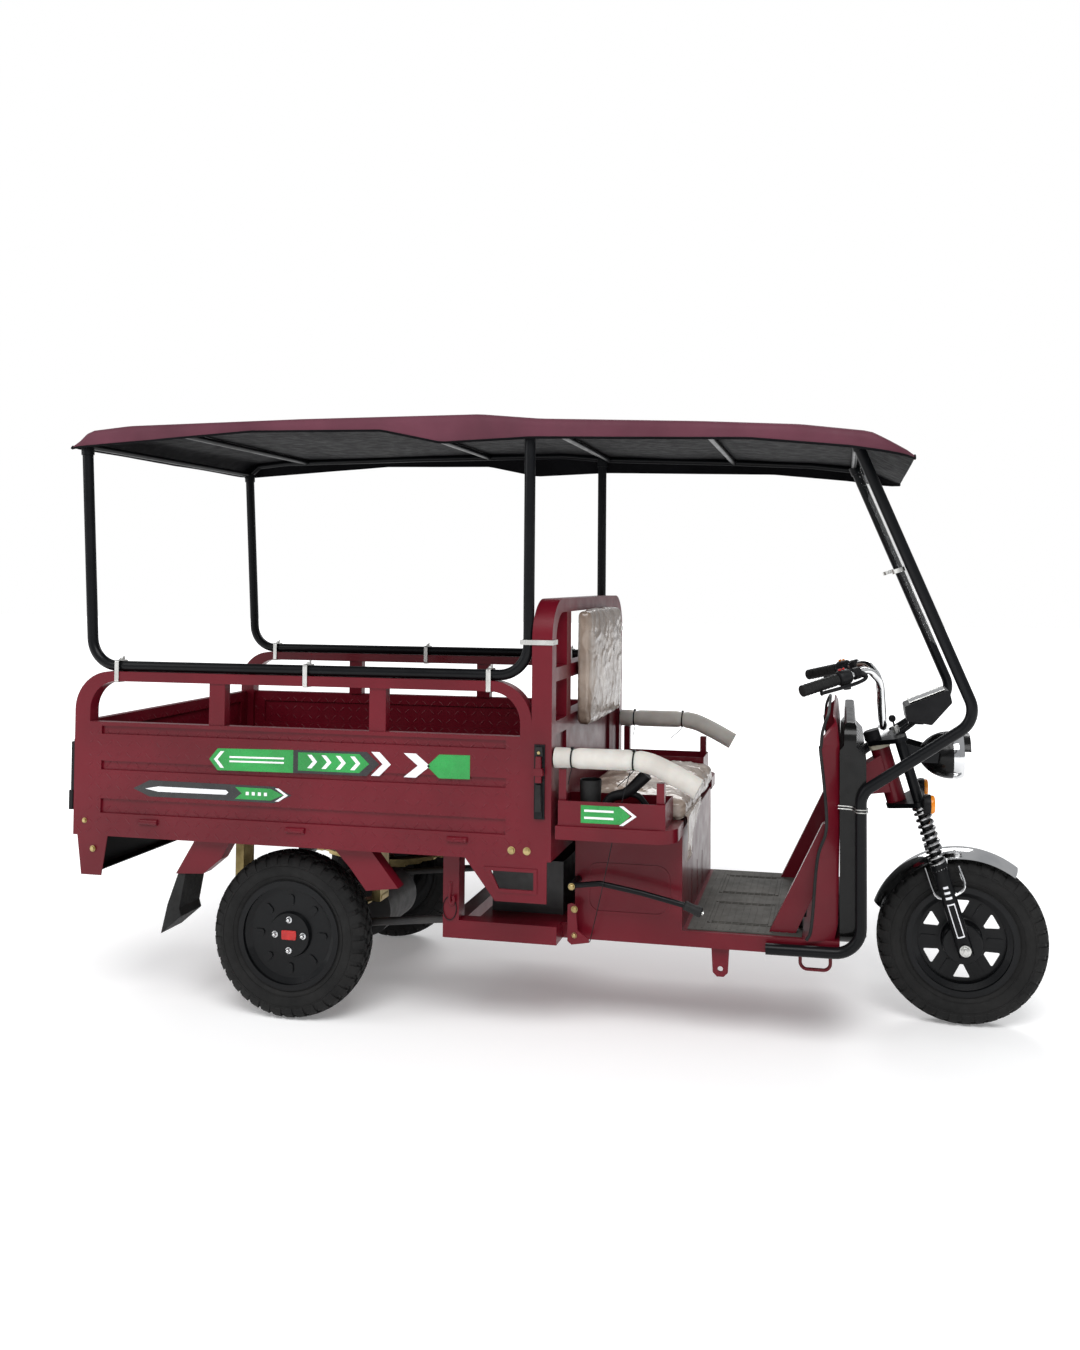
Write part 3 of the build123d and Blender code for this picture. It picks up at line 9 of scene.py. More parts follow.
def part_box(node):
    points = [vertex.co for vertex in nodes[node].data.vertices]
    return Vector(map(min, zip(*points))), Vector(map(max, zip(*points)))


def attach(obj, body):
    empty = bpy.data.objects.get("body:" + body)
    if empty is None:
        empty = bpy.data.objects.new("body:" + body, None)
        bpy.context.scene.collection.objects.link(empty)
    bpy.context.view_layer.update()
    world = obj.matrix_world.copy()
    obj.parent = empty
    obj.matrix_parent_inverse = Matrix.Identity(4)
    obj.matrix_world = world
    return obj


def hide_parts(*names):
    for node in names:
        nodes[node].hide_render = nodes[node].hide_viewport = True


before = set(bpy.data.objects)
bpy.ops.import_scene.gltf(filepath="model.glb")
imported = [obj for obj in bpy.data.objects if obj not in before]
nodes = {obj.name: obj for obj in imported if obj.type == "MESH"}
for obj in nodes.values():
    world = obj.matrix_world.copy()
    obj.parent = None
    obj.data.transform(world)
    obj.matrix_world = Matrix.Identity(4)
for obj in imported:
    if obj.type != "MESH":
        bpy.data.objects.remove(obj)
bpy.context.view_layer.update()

# The vehicle's frame in metres: X forward, Y to its left, Z up. Stations run ahead of the rear axle.
axle_low, axle_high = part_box("rear_tyre_right")
rear_axle = Vector(((axle_low[0] + axle_high[0]) / 2, 0, (axle_low[2] + axle_high[2]) / 2))
tyre_r = rear_axle.z


def at(station, y, z):
    """A place in metres from a station, a Y and a Z in millimetres."""
    return Vector((rear_axle.x + station / 1000, y / 1000, z / 1000))


# Materials, each a small node tree on one Principled shader
class Material:
    def __init__(self, name, color, roughness, metallic=0.0, **sockets):
        self.material = bpy.data.materials.new(name)
        self.material.use_nodes = True
        self.tree = self.material.node_tree
        self.shader = self.tree.nodes["Principled BSDF"]
        self.shader.inputs["Base Color"].default_value = (*color, 1)
        self.shader.inputs["Roughness"].default_value = roughness
        self.shader.inputs["Metallic"].default_value = metallic
        for socket, value in sockets.items():
            self.shader.inputs[socket.replace("_", " ")].default_value = value
        self.height = None
        self.coordinates = self.node("ShaderNodeTexCoord").outputs["Object"]

    def node(self, kind, **settings):
        node = self.tree.nodes.new(kind)
        for key, value in settings.items():
            setattr(node, key, value)
        return node

    def link(self, source, target):
        self.tree.links.new(source, target)

    def noise(self, scale, detail=3.0, stretch=(1, 1, 1)):
        """Noise over the object, in cycles per metre."""
        mapping = self.node("ShaderNodeMapping")
        mapping.inputs["Scale"].default_value = stretch
        self.link(self.coordinates, mapping.inputs["Vector"])
        noise = self.node("ShaderNodeTexNoise")
        noise.inputs["Scale"].default_value = scale
        noise.inputs["Detail"].default_value = detail
        self.link(mapping.outputs["Vector"], noise.inputs["Vector"])
        return noise.outputs["Fac"]

    def ramp(self, source, low, high, low_color, high_color):
        """Colours between two places on a factor."""
        ramp = self.node("ShaderNodeValToRGB")
        ramp.color_ramp.elements[0].position = low
        ramp.color_ramp.elements[1].position = high
        ramp.color_ramp.elements[0].color = (*low_color, 1)
        ramp.color_ramp.elements[1].color = (*high_color, 1)
        self.link(source, ramp.inputs["Fac"])
        return ramp.outputs["Color"]

    def value(self, source, low, high, low_value, high_value):
        """A number between two places on a factor."""
        spread = self.node("ShaderNodeMapRange")
        limits = {"From Min": low, "From Max": high, "To Min": low_value, "To Max": high_value}
        for socket, number in limits.items():
            spread.inputs[socket].default_value = number
        self.link(source, spread.inputs["Value"])
        return spread.outputs["Result"]

    def math(self, operation, first, second=None):
        node = self.node("ShaderNodeMath", operation=operation)
        for socket, term in zip(node.inputs, (first, second)):
            if term is None:
                continue
            if isinstance(term, (int, float)):
                socket.default_value = term
            else:
                self.link(term, socket)
        return node.outputs["Value"]

    def axes(self):
        split = self.node("ShaderNodeSeparateXYZ")
        self.link(self.coordinates, split.inputs["Vector"])
        return split.outputs["X"], split.outputs["Y"], split.outputs["Z"]

    def bump(self, height, distance, strength=1.0):
        bump = self.node("ShaderNodeBump")
        bump.inputs["Strength"].default_value = strength
        bump.inputs["Distance"].default_value = distance
        self.link(height, bump.inputs["Height"])
        if self.height is not None:
            self.link(self.height, bump.inputs["Normal"])
        self.height = bump.outputs["Normal"]
        self.link(self.height, self.shader.inputs["Normal"])

    def paint(self, color):
        self.link(color, self.shader.inputs["Base Color"])

    def rough(self, value):
        self.link(value, self.shader.inputs["Roughness"])


def varied(name, dark, light, roughness, scale=6, rough_spread=0.08, grain=0.0, grain_scale=900, **sockets):
    """A material whose colour and roughness drift gently over the surface, with a fine grain."""
    made = Material(name, dark, roughness, **sockets)
    drift = made.noise(scale, 4)
    made.paint(made.ramp(drift, 0.35, 0.68, dark, light))
    fine = made.noise(scale * 5, 3)
    made.rough(made.value(fine, 0.3, 0.7, roughness - rough_spread, roughness + rough_spread))
    if grain:
        made.bump(made.noise(grain_scale, 2), grain)
    return made


def gloss_paint(name, dark, light, shine=0.2):
    """Sprayed gloss paint under a clear coat, with a faint orange peel."""
    made = varied(name, dark, light, 0.36, scale=3, rough_spread=0.06, Specular_IOR_Level=shine,
                  Coat_Weight=shine / 2, Coat_Roughness=0.08)
    made.bump(made.noise(260, 2), 0.00012)
    return made


# Ticks of the tread plate: cell and height in metres, half length and half width as shares of the cell
tread_cell, tick_height = 0.034, 0.0009
tick_half_length, tick_half_width = 0.42, 0.085


def tread_plate(name, dark, light):
    """Painted tread-plate sheet: short raised ticks that alternate in direction, seen from the side."""
    made = gloss_paint(name, dark, light)
    x, y, z = made.axes()
    along = made.math("ADD", x, y)

    def in_cell(place):
        """The number of a place's cell, and where the place is in it, from -0.5 to 0.5."""
        cells = made.math("DIVIDE", place, tread_cell)
        return made.math("FLOOR", cells), made.math("SUBTRACT", made.math("FRACT", cells), 0.5)

    def squared_share(place, half):
        return made.math("POWER", made.math("ABSOLUTE", made.math("DIVIDE", place, half)), 2.0)

    row, upward = in_cell(z)
    column, across = in_cell(along)
    parity = made.math("PINGPONG", made.math("ADD", row, column), 1.0)
    side = made.math("SUBTRACT", made.math("MULTIPLY", parity, 2.0), 1.0)
    tilted = made.math("MULTIPLY", across, side)
    long_way, short_way = (
        made.math("MULTIPLY", made.math(operation, tilted, upward), 0.7) for operation in ("ADD", "SUBTRACT")
    )
    oval = made.math("ADD", squared_share(long_way, tick_half_length), squared_share(short_way, tick_half_width))
    made.bump(made.value(oval, 0.2, 1.0, 1.0, 0.0), tick_height)
    return made


CRIMSON_DARK, CRIMSON_LIGHT = (0.092, 0.0028, 0.0082), (0.128, 0.0040, 0.0118)
crimson = gloss_paint("crimson_paint", CRIMSON_DARK, CRIMSON_LIGHT)
crimson_plate = tread_plate("crimson_tread_plate", CRIMSON_DARK, CRIMSON_LIGHT)
black_paint = gloss_paint("black_paint", (0.0025, 0.0028, 0.0035), (0.0045, 0.005, 0.006), 0.12)
rim_paint = gloss_paint("rim_paint", (0.0028, 0.0031, 0.0036), (0.0048, 0.0053, 0.0062), 0.16)
dark_steel = varied("dark_steel", (0.012, 0.012, 0.013), (0.03, 0.028, 0.026), 0.55, grain=0.0002)
zinc = varied("zinc_plate", (0.50, 0.50, 0.48), (0.66, 0.66, 0.64), 0.34, scale=30, metallic=1.0, grain=0.00006)
brassy = varied("yellow_zinc", (0.30, 0.23, 0.10), (0.48, 0.38, 0.18), 0.38, scale=24, metallic=1.0, grain=0.00008)
chrome = varied("chrome", (0.62, 0.63, 0.64), (0.78, 0.78, 0.78), 0.09, scale=12, rough_spread=0.04, metallic=1.0)
tyre_rubber = varied("tyre_rubber", (0.0065, 0.0065, 0.0065), (0.012, 0.0118, 0.0115), 0.7, scale=9, grain=0.00025,
                     Specular_IOR_Level=0.22)
soft_rubber = varied("soft_rubber", (0.007, 0.007, 0.007), (0.014, 0.014, 0.014), 0.6, scale=20, grain=0.0002,
                     Specular_IOR_Level=0.25)
mat_rubber = varied("mat_rubber", (0.050, 0.048, 0.043), (0.085, 0.081, 0.073), 0.7, scale=7, grain=0.0003,
                    Specular_IOR_Level=0.25)
satin_plastic = varied("satin_plastic", (0.006, 0.006, 0.007), (0.012, 0.012, 0.013), 0.42, scale=14, grain=0.0001,
                       Specular_IOR_Level=0.15)
gloss_plastic = varied("gloss_plastic", (0.003, 0.003, 0.003), (0.006, 0.006, 0.006), 0.2, scale=10,
                       rough_spread=0.06, Specular_IOR_Level=0.2)
battery_plastic = varied("battery_plastic", (0.012, 0.012, 0.013), (0.028, 0.027, 0.026), 0.5, scale=10)
orange_lens = varied("orange_lens", (0.75, 0.22, 0.008), (0.85, 0.30, 0.015), 0.14, scale=60, rough_spread=0.05)
red_lens = varied("red_lens", (0.35, 0.006, 0.006), (0.48, 0.012, 0.010), 0.14, scale=60, rough_spread=0.05)
decal_green = varied("decal_green", (0.004, 0.20, 0.030), (0.008, 0.30, 0.050), 0.28, scale=9)
decal_white = varied("decal_white", (0.72, 0.73, 0.76), (0.82, 0.82, 0.84), 0.28, scale=9)
decal_black = varied("decal_black", (0.006, 0.006, 0.007), (0.012, 0.012, 0.013), 0.28, scale=9)
chrome_grey = varied("spring_chrome", (0.25, 0.25, 0.26), (0.42, 0.42, 0.42), 0.25, scale=14, metallic=1.0)
cream = varied("cream_paint", (0.55, 0.50, 0.38), (0.66, 0.60, 0.48), 0.45, scale=20)
cluster_glass = varied("cluster_glass", (0.10, 0.11, 0.11), (0.22, 0.23, 0.22), 0.12, scale=14, Coat_Weight=1.0)
clear_glass = Material("clear_sheet", (0.93, 0.96, 0.97), 0.04, Transmission_Weight=1.0, IOR=1.45, Alpha=0.25)
clear_glass.bump(clear_glass.noise(3, 1), 0.0004)
lamp_glass = Material("lamp_glass", (0.9, 0.92, 0.93), 0.05, Transmission_Weight=1.0, IOR=1.45)
lamp_glass.bump(lamp_glass.noise(160, 1, (0.2, 1, 0.2)), 0.0008)

# Canopy cloth: a plum coated cloth above, black below where the surface looks down
canopy_cloth = varied("canopy_cloth", (0.068, 0.018, 0.029), (0.100, 0.027, 0.043), 0.66, scale=4, grain=0.00015,
                      Specular_IOR_Level=0.2)
canopy_lining = varied("canopy_lining", (0.0025, 0.0025, 0.003), (0.005, 0.005, 0.006), 0.66, scale=6, grain=0.0002,
                       Specular_IOR_Level=0.05)

# Foam sleeves and the film-wrapped cushions
foam = varied("foam_sleeve", (0.47, 0.445, 0.41), (0.58, 0.56, 0.52), 0.78, scale=14, grain=0.0006, grain_scale=300)
foam.shader.inputs["Subsurface Weight"].default_value = 0.15
foam.shader.inputs["Subsurface Scale"].default_value = 0.01
film_wrap = varied("film_wrapped_cover", (0.17, 0.125, 0.095), (0.34, 0.275, 0.225), 0.36, scale=11,
                   rough_spread=0.1, Coat_Weight=0.45, Coat_Roughness=0.16)
film_wrap.bump(film_wrap.noise(22, 4, (1, 1, 0.4)), 0.0022, 0.8)

# The torn end of film, see-through in part
film_sheet = Material("loose_film", (0.62, 0.55, 0.48), 0.22, Alpha=0.55, Coat_Weight=0.4)
film_sheet.paint(film_sheet.ramp(film_sheet.noise(14, 3), 0.35, 0.7, (0.42, 0.34, 0.28), (0.70, 0.63, 0.56)))
film_sheet.bump(film_sheet.noise(45, 4), 0.0012)


def finish_node(name, made):
    """Gives a CAD node its material."""
    target = nodes[name]
    target.data.materials.clear()
    target.data.materials.append(made.material)


node_materials = (
    (crimson, "bed_frame floor_frame floorboard side_rails bulkhead_frame seat_box arm_trays side_plates "
              "mud_brackets leg_shield head_frame"),
    (crimson_plate, "bed_floor side_gates tailgate"),
    (black_paint, "side_hoops front_pillars roof_frame tail_panel fork brake_lever"),
    (rim_paint, "front_rim rear_rim_right rear_rim_left"),
    (dark_steel, "rear_axle"),
    (brassy, "leaf_springs"),
    (zinc, "tube_clamps"),
    (chrome, "front_fender handlebar fork_springs"),
    (tyre_rubber, "front_tyre rear_tyre_right rear_tyre_left"),
    (soft_rubber, "mud_flaps grips brake_pedal"),
    (mat_rubber, "floor_mat"),
    (satin_plastic, "corner_latches instrument_cluster"),
    (gloss_plastic, "front_fairing headlamp_shell"),
    (battery_plastic, "battery_box"),
    (orange_lens, "turn_signals"),
    (red_lens, "tail_lamps"),
    (clear_glass, "windscreen"),
    (lamp_glass, "headlamp_lens"),
    (canopy_cloth, "canopy_cover"),
    (foam, "arm_pads"),
    (film_wrap, "seat_cushion backrest_pad"),
)
for made, names in node_materials:
    for name in names.split():
        finish_node(name, made)

# The rocker plate under the brake lever is painted like the frame
rocker_corner = at(940, 0, 402)
lever_data = nodes["brake_lever"].data
lever_data.materials.append(crimson.material)
for polygon in lever_data.polygons:
    if polygon.center.z < rocker_corner.z and polygon.center.x < rocker_corner.x:
        polygon.material_index = 1


def turns(count, full=False):
    """Equal turns about an axis, with the first one again at the end where the ring is full."""
    return [2 * math.pi * k / count for k in range(count + full)]


def cross_axes(axis):
    """An axis and two directions square to it."""
    axis = Vector(axis).normalized()
    side = axis.orthogonal().normalized()
    return axis, side, axis.cross(side)


def circle(centre, side, other, r, count):
    return [centre + (side * math.cos(turn) + other * math.sin(turn)) * r for turn in turns(count)]


sides = ((-1, "right"), (1, "left"))


# Mesh geometry gathered into one piece
class Shape:
    least_r = 1e-5
    merge_distance = 1e-6

    def __init__(self):
        self.mesh = bmesh.new()
        self.slot = 0

    def faces(self, rows):
        for row in rows:
            face = self.mesh.faces.new(row)
            face.material_index = self.slot

    def rings(self, rings, caps=True):
        """Joins closed rings of points into a skin, with flat caps at both ends."""
        made = [[self.mesh.verts.new(point) for point in ring] for ring in rings]
        count = len(made[0])
        for first, second in zip(made, made[1:]):
            self.faces(
                [first[k], first[(k + 1) % count], second[(k + 1) % count], second[k]] for k in range(count)
            )
        if caps:
            self.faces([list(reversed(made[0])), made[-1]])

    def tube(self, points, radius, sides=12, caps=True):
        """A round tube along points; radius is one number or one per point."""
        points = [Vector(point) for point in points]
        radii = radius if isinstance(radius, (list, tuple)) else [radius] * len(points)
        tangents = [
            (points[min(k + 1, len(points) - 1)] - points[max(k - 1, 0)]).normalized()
            for k in range(len(points))
        ]
        side = tangents[0].orthogonal().normalized()
        rings = []
        for point, tangent, r in zip(points, tangents, radii):
            side = (side - tangent * side.dot(tangent)).normalized()
            rings.append(circle(point, side, tangent.cross(side), r, sides))
        self.rings(rings, caps=caps)

    def prism(self, outline, depth):
        """A flat outline of points carried along a vector."""
        outline = [Vector(point) for point in outline]
        self.rings([outline, [point + Vector(depth) for point in outline]])

    def box(self, low, high):
        low, high = Vector(low), Vector(high)
        corners = ((low.x, low.y), (high.x, low.y), (high.x, high.y), (low.x, high.y))
        self.prism([(x, y, low.z) for x, y in corners], (0, 0, high.z - low.z))

    def lathe(self, profile, centre, axis, sides=48, closed=False):
        """Turns a profile of (along, radius) pairs about an axis."""
        axis, side, other = cross_axes(axis)
        rings = [
            circle(Vector(centre) + axis * along, side, other, max(r, self.least_r), sides)
            for along, r in profile
        ]
        if closed:
            rings.append(rings[0])
        self.rings(rings, caps=False)

    def bolt(self, place, axis, across, height, washer=0.0):
        """A hexagon head with a bevelled top, and a washer where one shows."""
        axis, side, other = cross_axes(axis)
        place = Vector(place)
        if washer:
            self.rings([circle(place + axis * up, side, other, washer, 18) for up in (0, height * 0.2)])
        r = across / math.sqrt(3)
        head = ((r, 0), (r, height * 0.85), (r * 0.82, height))
        self.rings([circle(place + axis * up, side, other, corner_r, 6) for corner_r, up in head])

    def piece(self, name, made, body, replaced=(), smooth=35.0):
        """Turns the gathered mesh into a piece that rides on a body."""
        bmesh.ops.remove_doubles(self.mesh, verts=self.mesh.verts, dist=self.merge_distance)
        bmesh.ops.recalc_face_normals(self.mesh, faces=self.mesh.faces)
        data = bpy.data.meshes.new(name)
        self.mesh.to_mesh(data)
        self.mesh.free()
        for one in made if isinstance(made, (list, tuple)) else [made]:
            data.materials.append(one.material)
        obj = bpy.data.objects.new(name, data)
        bpy.context.scene.collection.objects.link(obj)
        if smooth:
            data.shade_smooth()
            data.set_sharp_from_angle(angle=math.radians(smooth))
        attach(obj, body)
        if replaced:
            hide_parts(*replaced)
        return obj


def smooth_path(points, steps=8):
    """A rounded path through points, by Catmull-Rom spans."""
    points = [Vector(point) for point in points]
    padded = [2 * points[0] - points[1], *points, 2 * points[-1] - points[-2]]
    path = []
    for a, b, c, d in zip(padded, padded[1:], padded[2:], padded[3:]):
        for step in range(steps):
            t = step / steps
            path.append(0.5 * ((2 * b) + (c - a) * t + (2 * a - 5 * b + 4 * c - d) * t * t
                               + (3 * b - a - 3 * c + d) * t ** 3))
    path.append(points[-1])
    return path


def ripple(point, scale, seed=0.0):
    """Smooth noise between -1 and 1 at a place."""
    return noise.noise(Vector(point) * scale + Vector((seed, seed * 1.7, -seed)))


# Canopy cover: one cloth over the frame, plum outside and black inside, with a black edge tape
cover_mesh = nodes["canopy_cover"].data
cover_tree = BVHTree.FromPolygons(
    [vertex.co for vertex in cover_mesh.vertices], [face.vertices for face in cover_mesh.polygons]
)
cover_low, cover_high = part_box("canopy_cover")
cover_half = (cover_high[1] - cover_low[1]) / 2
bow_places = [at(station, 0, 0).x for station in (-684, -430, 330, 800, 1270, 1700)]
visor_r = 0.11
probe_inset = 0.002
end_inset = 0.003
least_hem = 0.02
ray_from_above, ray_from_below = 3.0, 1.5
sag_depth = 0.007
cloth_thick = 0.0022
cloth_rows = 112
skirt_inset = 0.004
skirt_rows = 6
skirt_bend = 0.022
skirt_wave = 0.0035
skirt_wave_out = 0.0025
top_columns = 40
top_inset = 0.0025
tape_r = 0.0035


def cover_top_z(x):
    x = min(max(x, cover_low[0] + probe_inset), cover_high[0] - probe_inset)
    return cover_tree.ray_cast(Vector((x, 0, ray_from_above)), Vector((0, 0, -1)))[0].z


def cover_hem_z(x):
    x = min(max(x, cover_low[0] + end_inset), cover_high[0] - end_inset)
    y = cover_half_at(x) - probe_inset
    hit = cover_tree.ray_cast(Vector((x, y, ray_from_below)), Vector((0, 0, 1)))[0]
    return hit.z if hit else cover_top_z(x) - least_hem


def cover_half_at(x):
    """Half the cover's width, rounded at the visor's corners."""
    into = x - (cover_high[0] - visor_r)
    if into <= 0:
        return cover_half
    return cover_half - visor_r + math.sqrt(max(visor_r ** 2 - into ** 2, 1e-6))


def cover_sag(x):
    """How far the cloth hangs between the two bows beside a place."""
    for rear, front in zip(bow_places, bow_places[1:]):
        if rear <= x <= front:
            return sag_depth * math.sin(math.pi * (x - rear) / (front - rear)) ** 2
    return 0.0


def skirt_column(x, side, half, top, drop, bend):
    """The cloth's points up one side, from the hem to the edge of the roof."""
    rows = []
    for row in range(skirt_rows):
        down = drop - (drop - bend) * row / (skirt_rows - 1)
        wave = skirt_wave * ripple((x, side, down), 7.0, 3.1) * (down / max(drop, 0.03))
        rows.append(Vector((x, side * (half - skirt_inset + min(wave, skirt_wave_out)), top - down)))
    for share in (0.25, 0.5, 0.75):
        turn = math.pi / 2 * share
        y = half - skirt_inset - bend * (1 - math.cos(turn))
        rows.append(Vector((x, side * y, top - bend * (1 - math.sin(turn)))))
    return rows


def cover_ring(x):
    """The cloth's points across the roof at one X, from the right hem over the top to the left hem."""
    half, top = cover_half_at(x), cover_top_z(x)
    drop = max(top - cover_hem_z(x), 0.008)
    bend = min(skirt_bend, drop * 0.8)
    inner = half - skirt_inset - bend
    across_top = []
    for column in range(top_columns + 1):
        y = -inner + 2 * inner * column / top_columns
        hang = cover_sag(x) * (1 - (abs(y) / half) ** 4)
        crease = 0.0016 * ripple((x, y, 0), 5.5, 1.3) + 0.0008 * ripple((x, y, 0), 16, 2.2)
        across_top.append(Vector((x, y, top - top_inset - hang + crease)))
    right, left = (skirt_column(x, side, half, top, drop, bend) for side in (-1, 1))
    return [*right, *across_top, *reversed(left)]


def lining_rows(rows):
    """The inside of the cloth, one thickness in from its rows of points."""
    made = []
    for index, row in enumerate(rows):
        inner = []
        for column, point in enumerate(row):
            along = rows[min(index + 1, len(rows) - 1)][column] - rows[max(index - 1, 0)][column]
            across = row[min(column + 1, len(row) - 1)] - row[max(column - 1, 0)]
            inner.append(point - along.cross(across).normalized() * cloth_thick)
        made.append(inner)
    return made


def make_canopy():
    span = cover_high[0] - cover_low[0] - 2 * end_inset
    rows = [cover_ring(cover_low[0] + end_inset + span * k / cloth_rows) for k in range(cloth_rows + 1)]
    cloth = Shape()
    outer = [[cloth.mesh.verts.new(point) for point in row] for row in rows]
    lining = [[cloth.mesh.verts.new(point) for point in row] for row in lining_rows(rows)]
    columns = range(len(rows[0]) - 1)
    for a, b, c, d in zip(outer, outer[1:], lining, lining[1:]):
        cloth.slot = 0
        cloth.faces([a[j], b[j], b[j + 1], a[j + 1]] for j in columns)
        cloth.slot = 1
        cloth.faces([c[j], c[j + 1], d[j + 1], d[j]] for j in columns)
        cloth.faces([a[j], c[j], d[j], b[j]] for j in (0, len(columns)))
    for a, c in ((outer[0], lining[0]), (outer[-1], lining[-1])):
        cloth.faces([a[j], a[j + 1], c[j + 1], c[j]] for j in columns)
    cover = cloth.piece("canopy_cloth", (canopy_cloth, canopy_lining), "chassis", ("canopy_cover",), smooth=60)
    tape = Shape()
    for column in (0, -1):
        tape.tube([row[column] + Vector((0, 0, 0.001)) for row in rows], tape_r, 8)
    for row in (rows[0], rows[-1]):
        tape.tube(row[::2] + [row[-1]], tape_r, 8)
    edge_tape = tape.piece("canopy_edge_tape", canopy_lining, "chassis")


make_canopy()


# Treaded tyres: a moulded carcass with centre blocks, shoulder lugs and rings on the side wall
# One half of the carcass, as offset from the middle and radius, from the tread round the bead to the inside
carcass_half = (
    (0.012, 0.2468), (0.026, 0.2445), (0.0385, 0.2375), (0.0435, 0.229), (0.0462, 0.218), (0.0475, 0.205),
    (0.0455, 0.190), (0.040, 0.176), (0.0335, 0.1695), (0.0335, 0.1535), (0.026, 0.1535), (0.026, 0.1690),
    (0.036, 0.2), (0.028, 0.23),
)
carcass_crown_r, carcass_inside_r = 0.2474, 0.238
carcass_profile = (
    (0, carcass_crown_r), *carcass_half, (0, carcass_inside_r), *[(-y, r) for y, r in reversed(carcass_half)],
)
# Shoulder lug: offset from the middle, base radius and top radius, from the tread down the side wall
lug_section = ((0.0305, 0.238, 0.2490), (0.0385, 0.230, 0.2442), (0.0448, 0.222, 0.2335), (0.0476, 0.212, 0.2200))
lug_half_length = 0.31
lug_depth = 0.004
# Rings on the side wall: radius and offset from the middle
wall_rings = ((0.182, 0.0432), (0.212, 0.0470))
wall_ring_r = 0.0013
# Tread blocks: offset from the middle, half width, angle as a share of the pitch, half length, skew
tread_blocks = (
    (-0.008, 0.0065, 0.00, 0.34, 0.20),
    (0.008, 0.0065, 0.50, 0.34, 0.20),
    (-0.0225, 0.0055, 0.45, 0.30, -0.18),
    (0.0225, 0.0055, 0.95, 0.30, -0.18),
)
tread_pitches = 38
# They taper from foot to face: depth below the face, and share of the size
block_levels = ((-0.010, 1.04), (0.0, 0.94))
block_corners = ((-1, -1), (1, -1), (1, 1), (-1, 1))


def tread_r(offset):
    """The tread's outer radius across the tyre."""
    return tyre_r - 0.0006 - 6.6 * offset ** 2


def make_tyre(name, body, centre, replaced):
    shape = Shape()

    def on_tyre(turn, y, r):
        return centre + Vector((r * math.cos(turn), y, r * math.sin(turn)))

    shape.lathe(carcass_profile, centre, (0, 1, 0), sides=120, closed=True)
    for ring_r, ring_y in wall_rings:
        for side in (-1, 1):
            points = [on_tyre(turn, side * ring_y, ring_r) for turn in turns(96, full=True)]
            shape.tube(points, wall_ring_r, 6, caps=False)
    pitch = 2 * math.pi / tread_pitches
    for number in range(tread_pitches):
        for offset, half_width, phase, half_length, skew in tread_blocks:
            rings = []
            for lift, share in block_levels:
                ring = []
                for across, along in block_corners:
                    y = offset + across * half_width * share
                    turn = pitch * (number + phase + along * half_length * share + skew * across * 0.5)
                    ring.append(on_tyre(turn, y, tread_r(abs(y)) + lift))
                rings.append(ring)
            shape.rings(rings)
        for side, phase in ((-1, 0.75), (1, 0.25)):
            rings = []
            for along in (-lug_half_length, lug_half_length):
                turn = pitch * (number + phase + along)
                outline = [(side * (y - lug_depth), low) for y, low, high in lug_section]
                outline += [(side * y, high) for y, low, high in reversed(lug_section)]
                rings.append([on_tyre(turn, y, r) for y, r in outline])
            shape.rings(rings)
    tyre = shape.piece(name, tyre_rubber, body, (replaced,), smooth=30)


def node_centre(name):
    low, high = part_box(name)
    return (Vector(low) + Vector(high)) / 2


front_axle = node_centre("front_tyre")
wheels = (
    ("front", "front_wheel", "front_tyre"),
    ("rear_right", "rear_wheel_right", "rear_tyre_right"),
    ("rear_left", "rear_wheel_left", "rear_tyre_left"),
)
for place, body, node in wheels:
    make_tyre(place + "_treaded_tyre", body, node_centre(node), node)


# Cushions: crowned closed forms under crumpled wrapping film
crease_scale = 15.0
bulge_past_box = 0.004
least_length = 1e-9
quad_corners = ((0, 0), (1, 0), (1, 1), (0, 1))


def crumple(point, depth, scale, seed):
    """Film creases: ridged noise that leaves flats between sharp folds."""
    first = 1 - abs(ripple(point, scale, seed)) * 2
    second = 1 - abs(ripple(point, scale * 2.3, seed + 5)) * 2
    return depth * (max(first, 0) ** 3 + 0.45 * max(second, 0) ** 3 - 0.35)


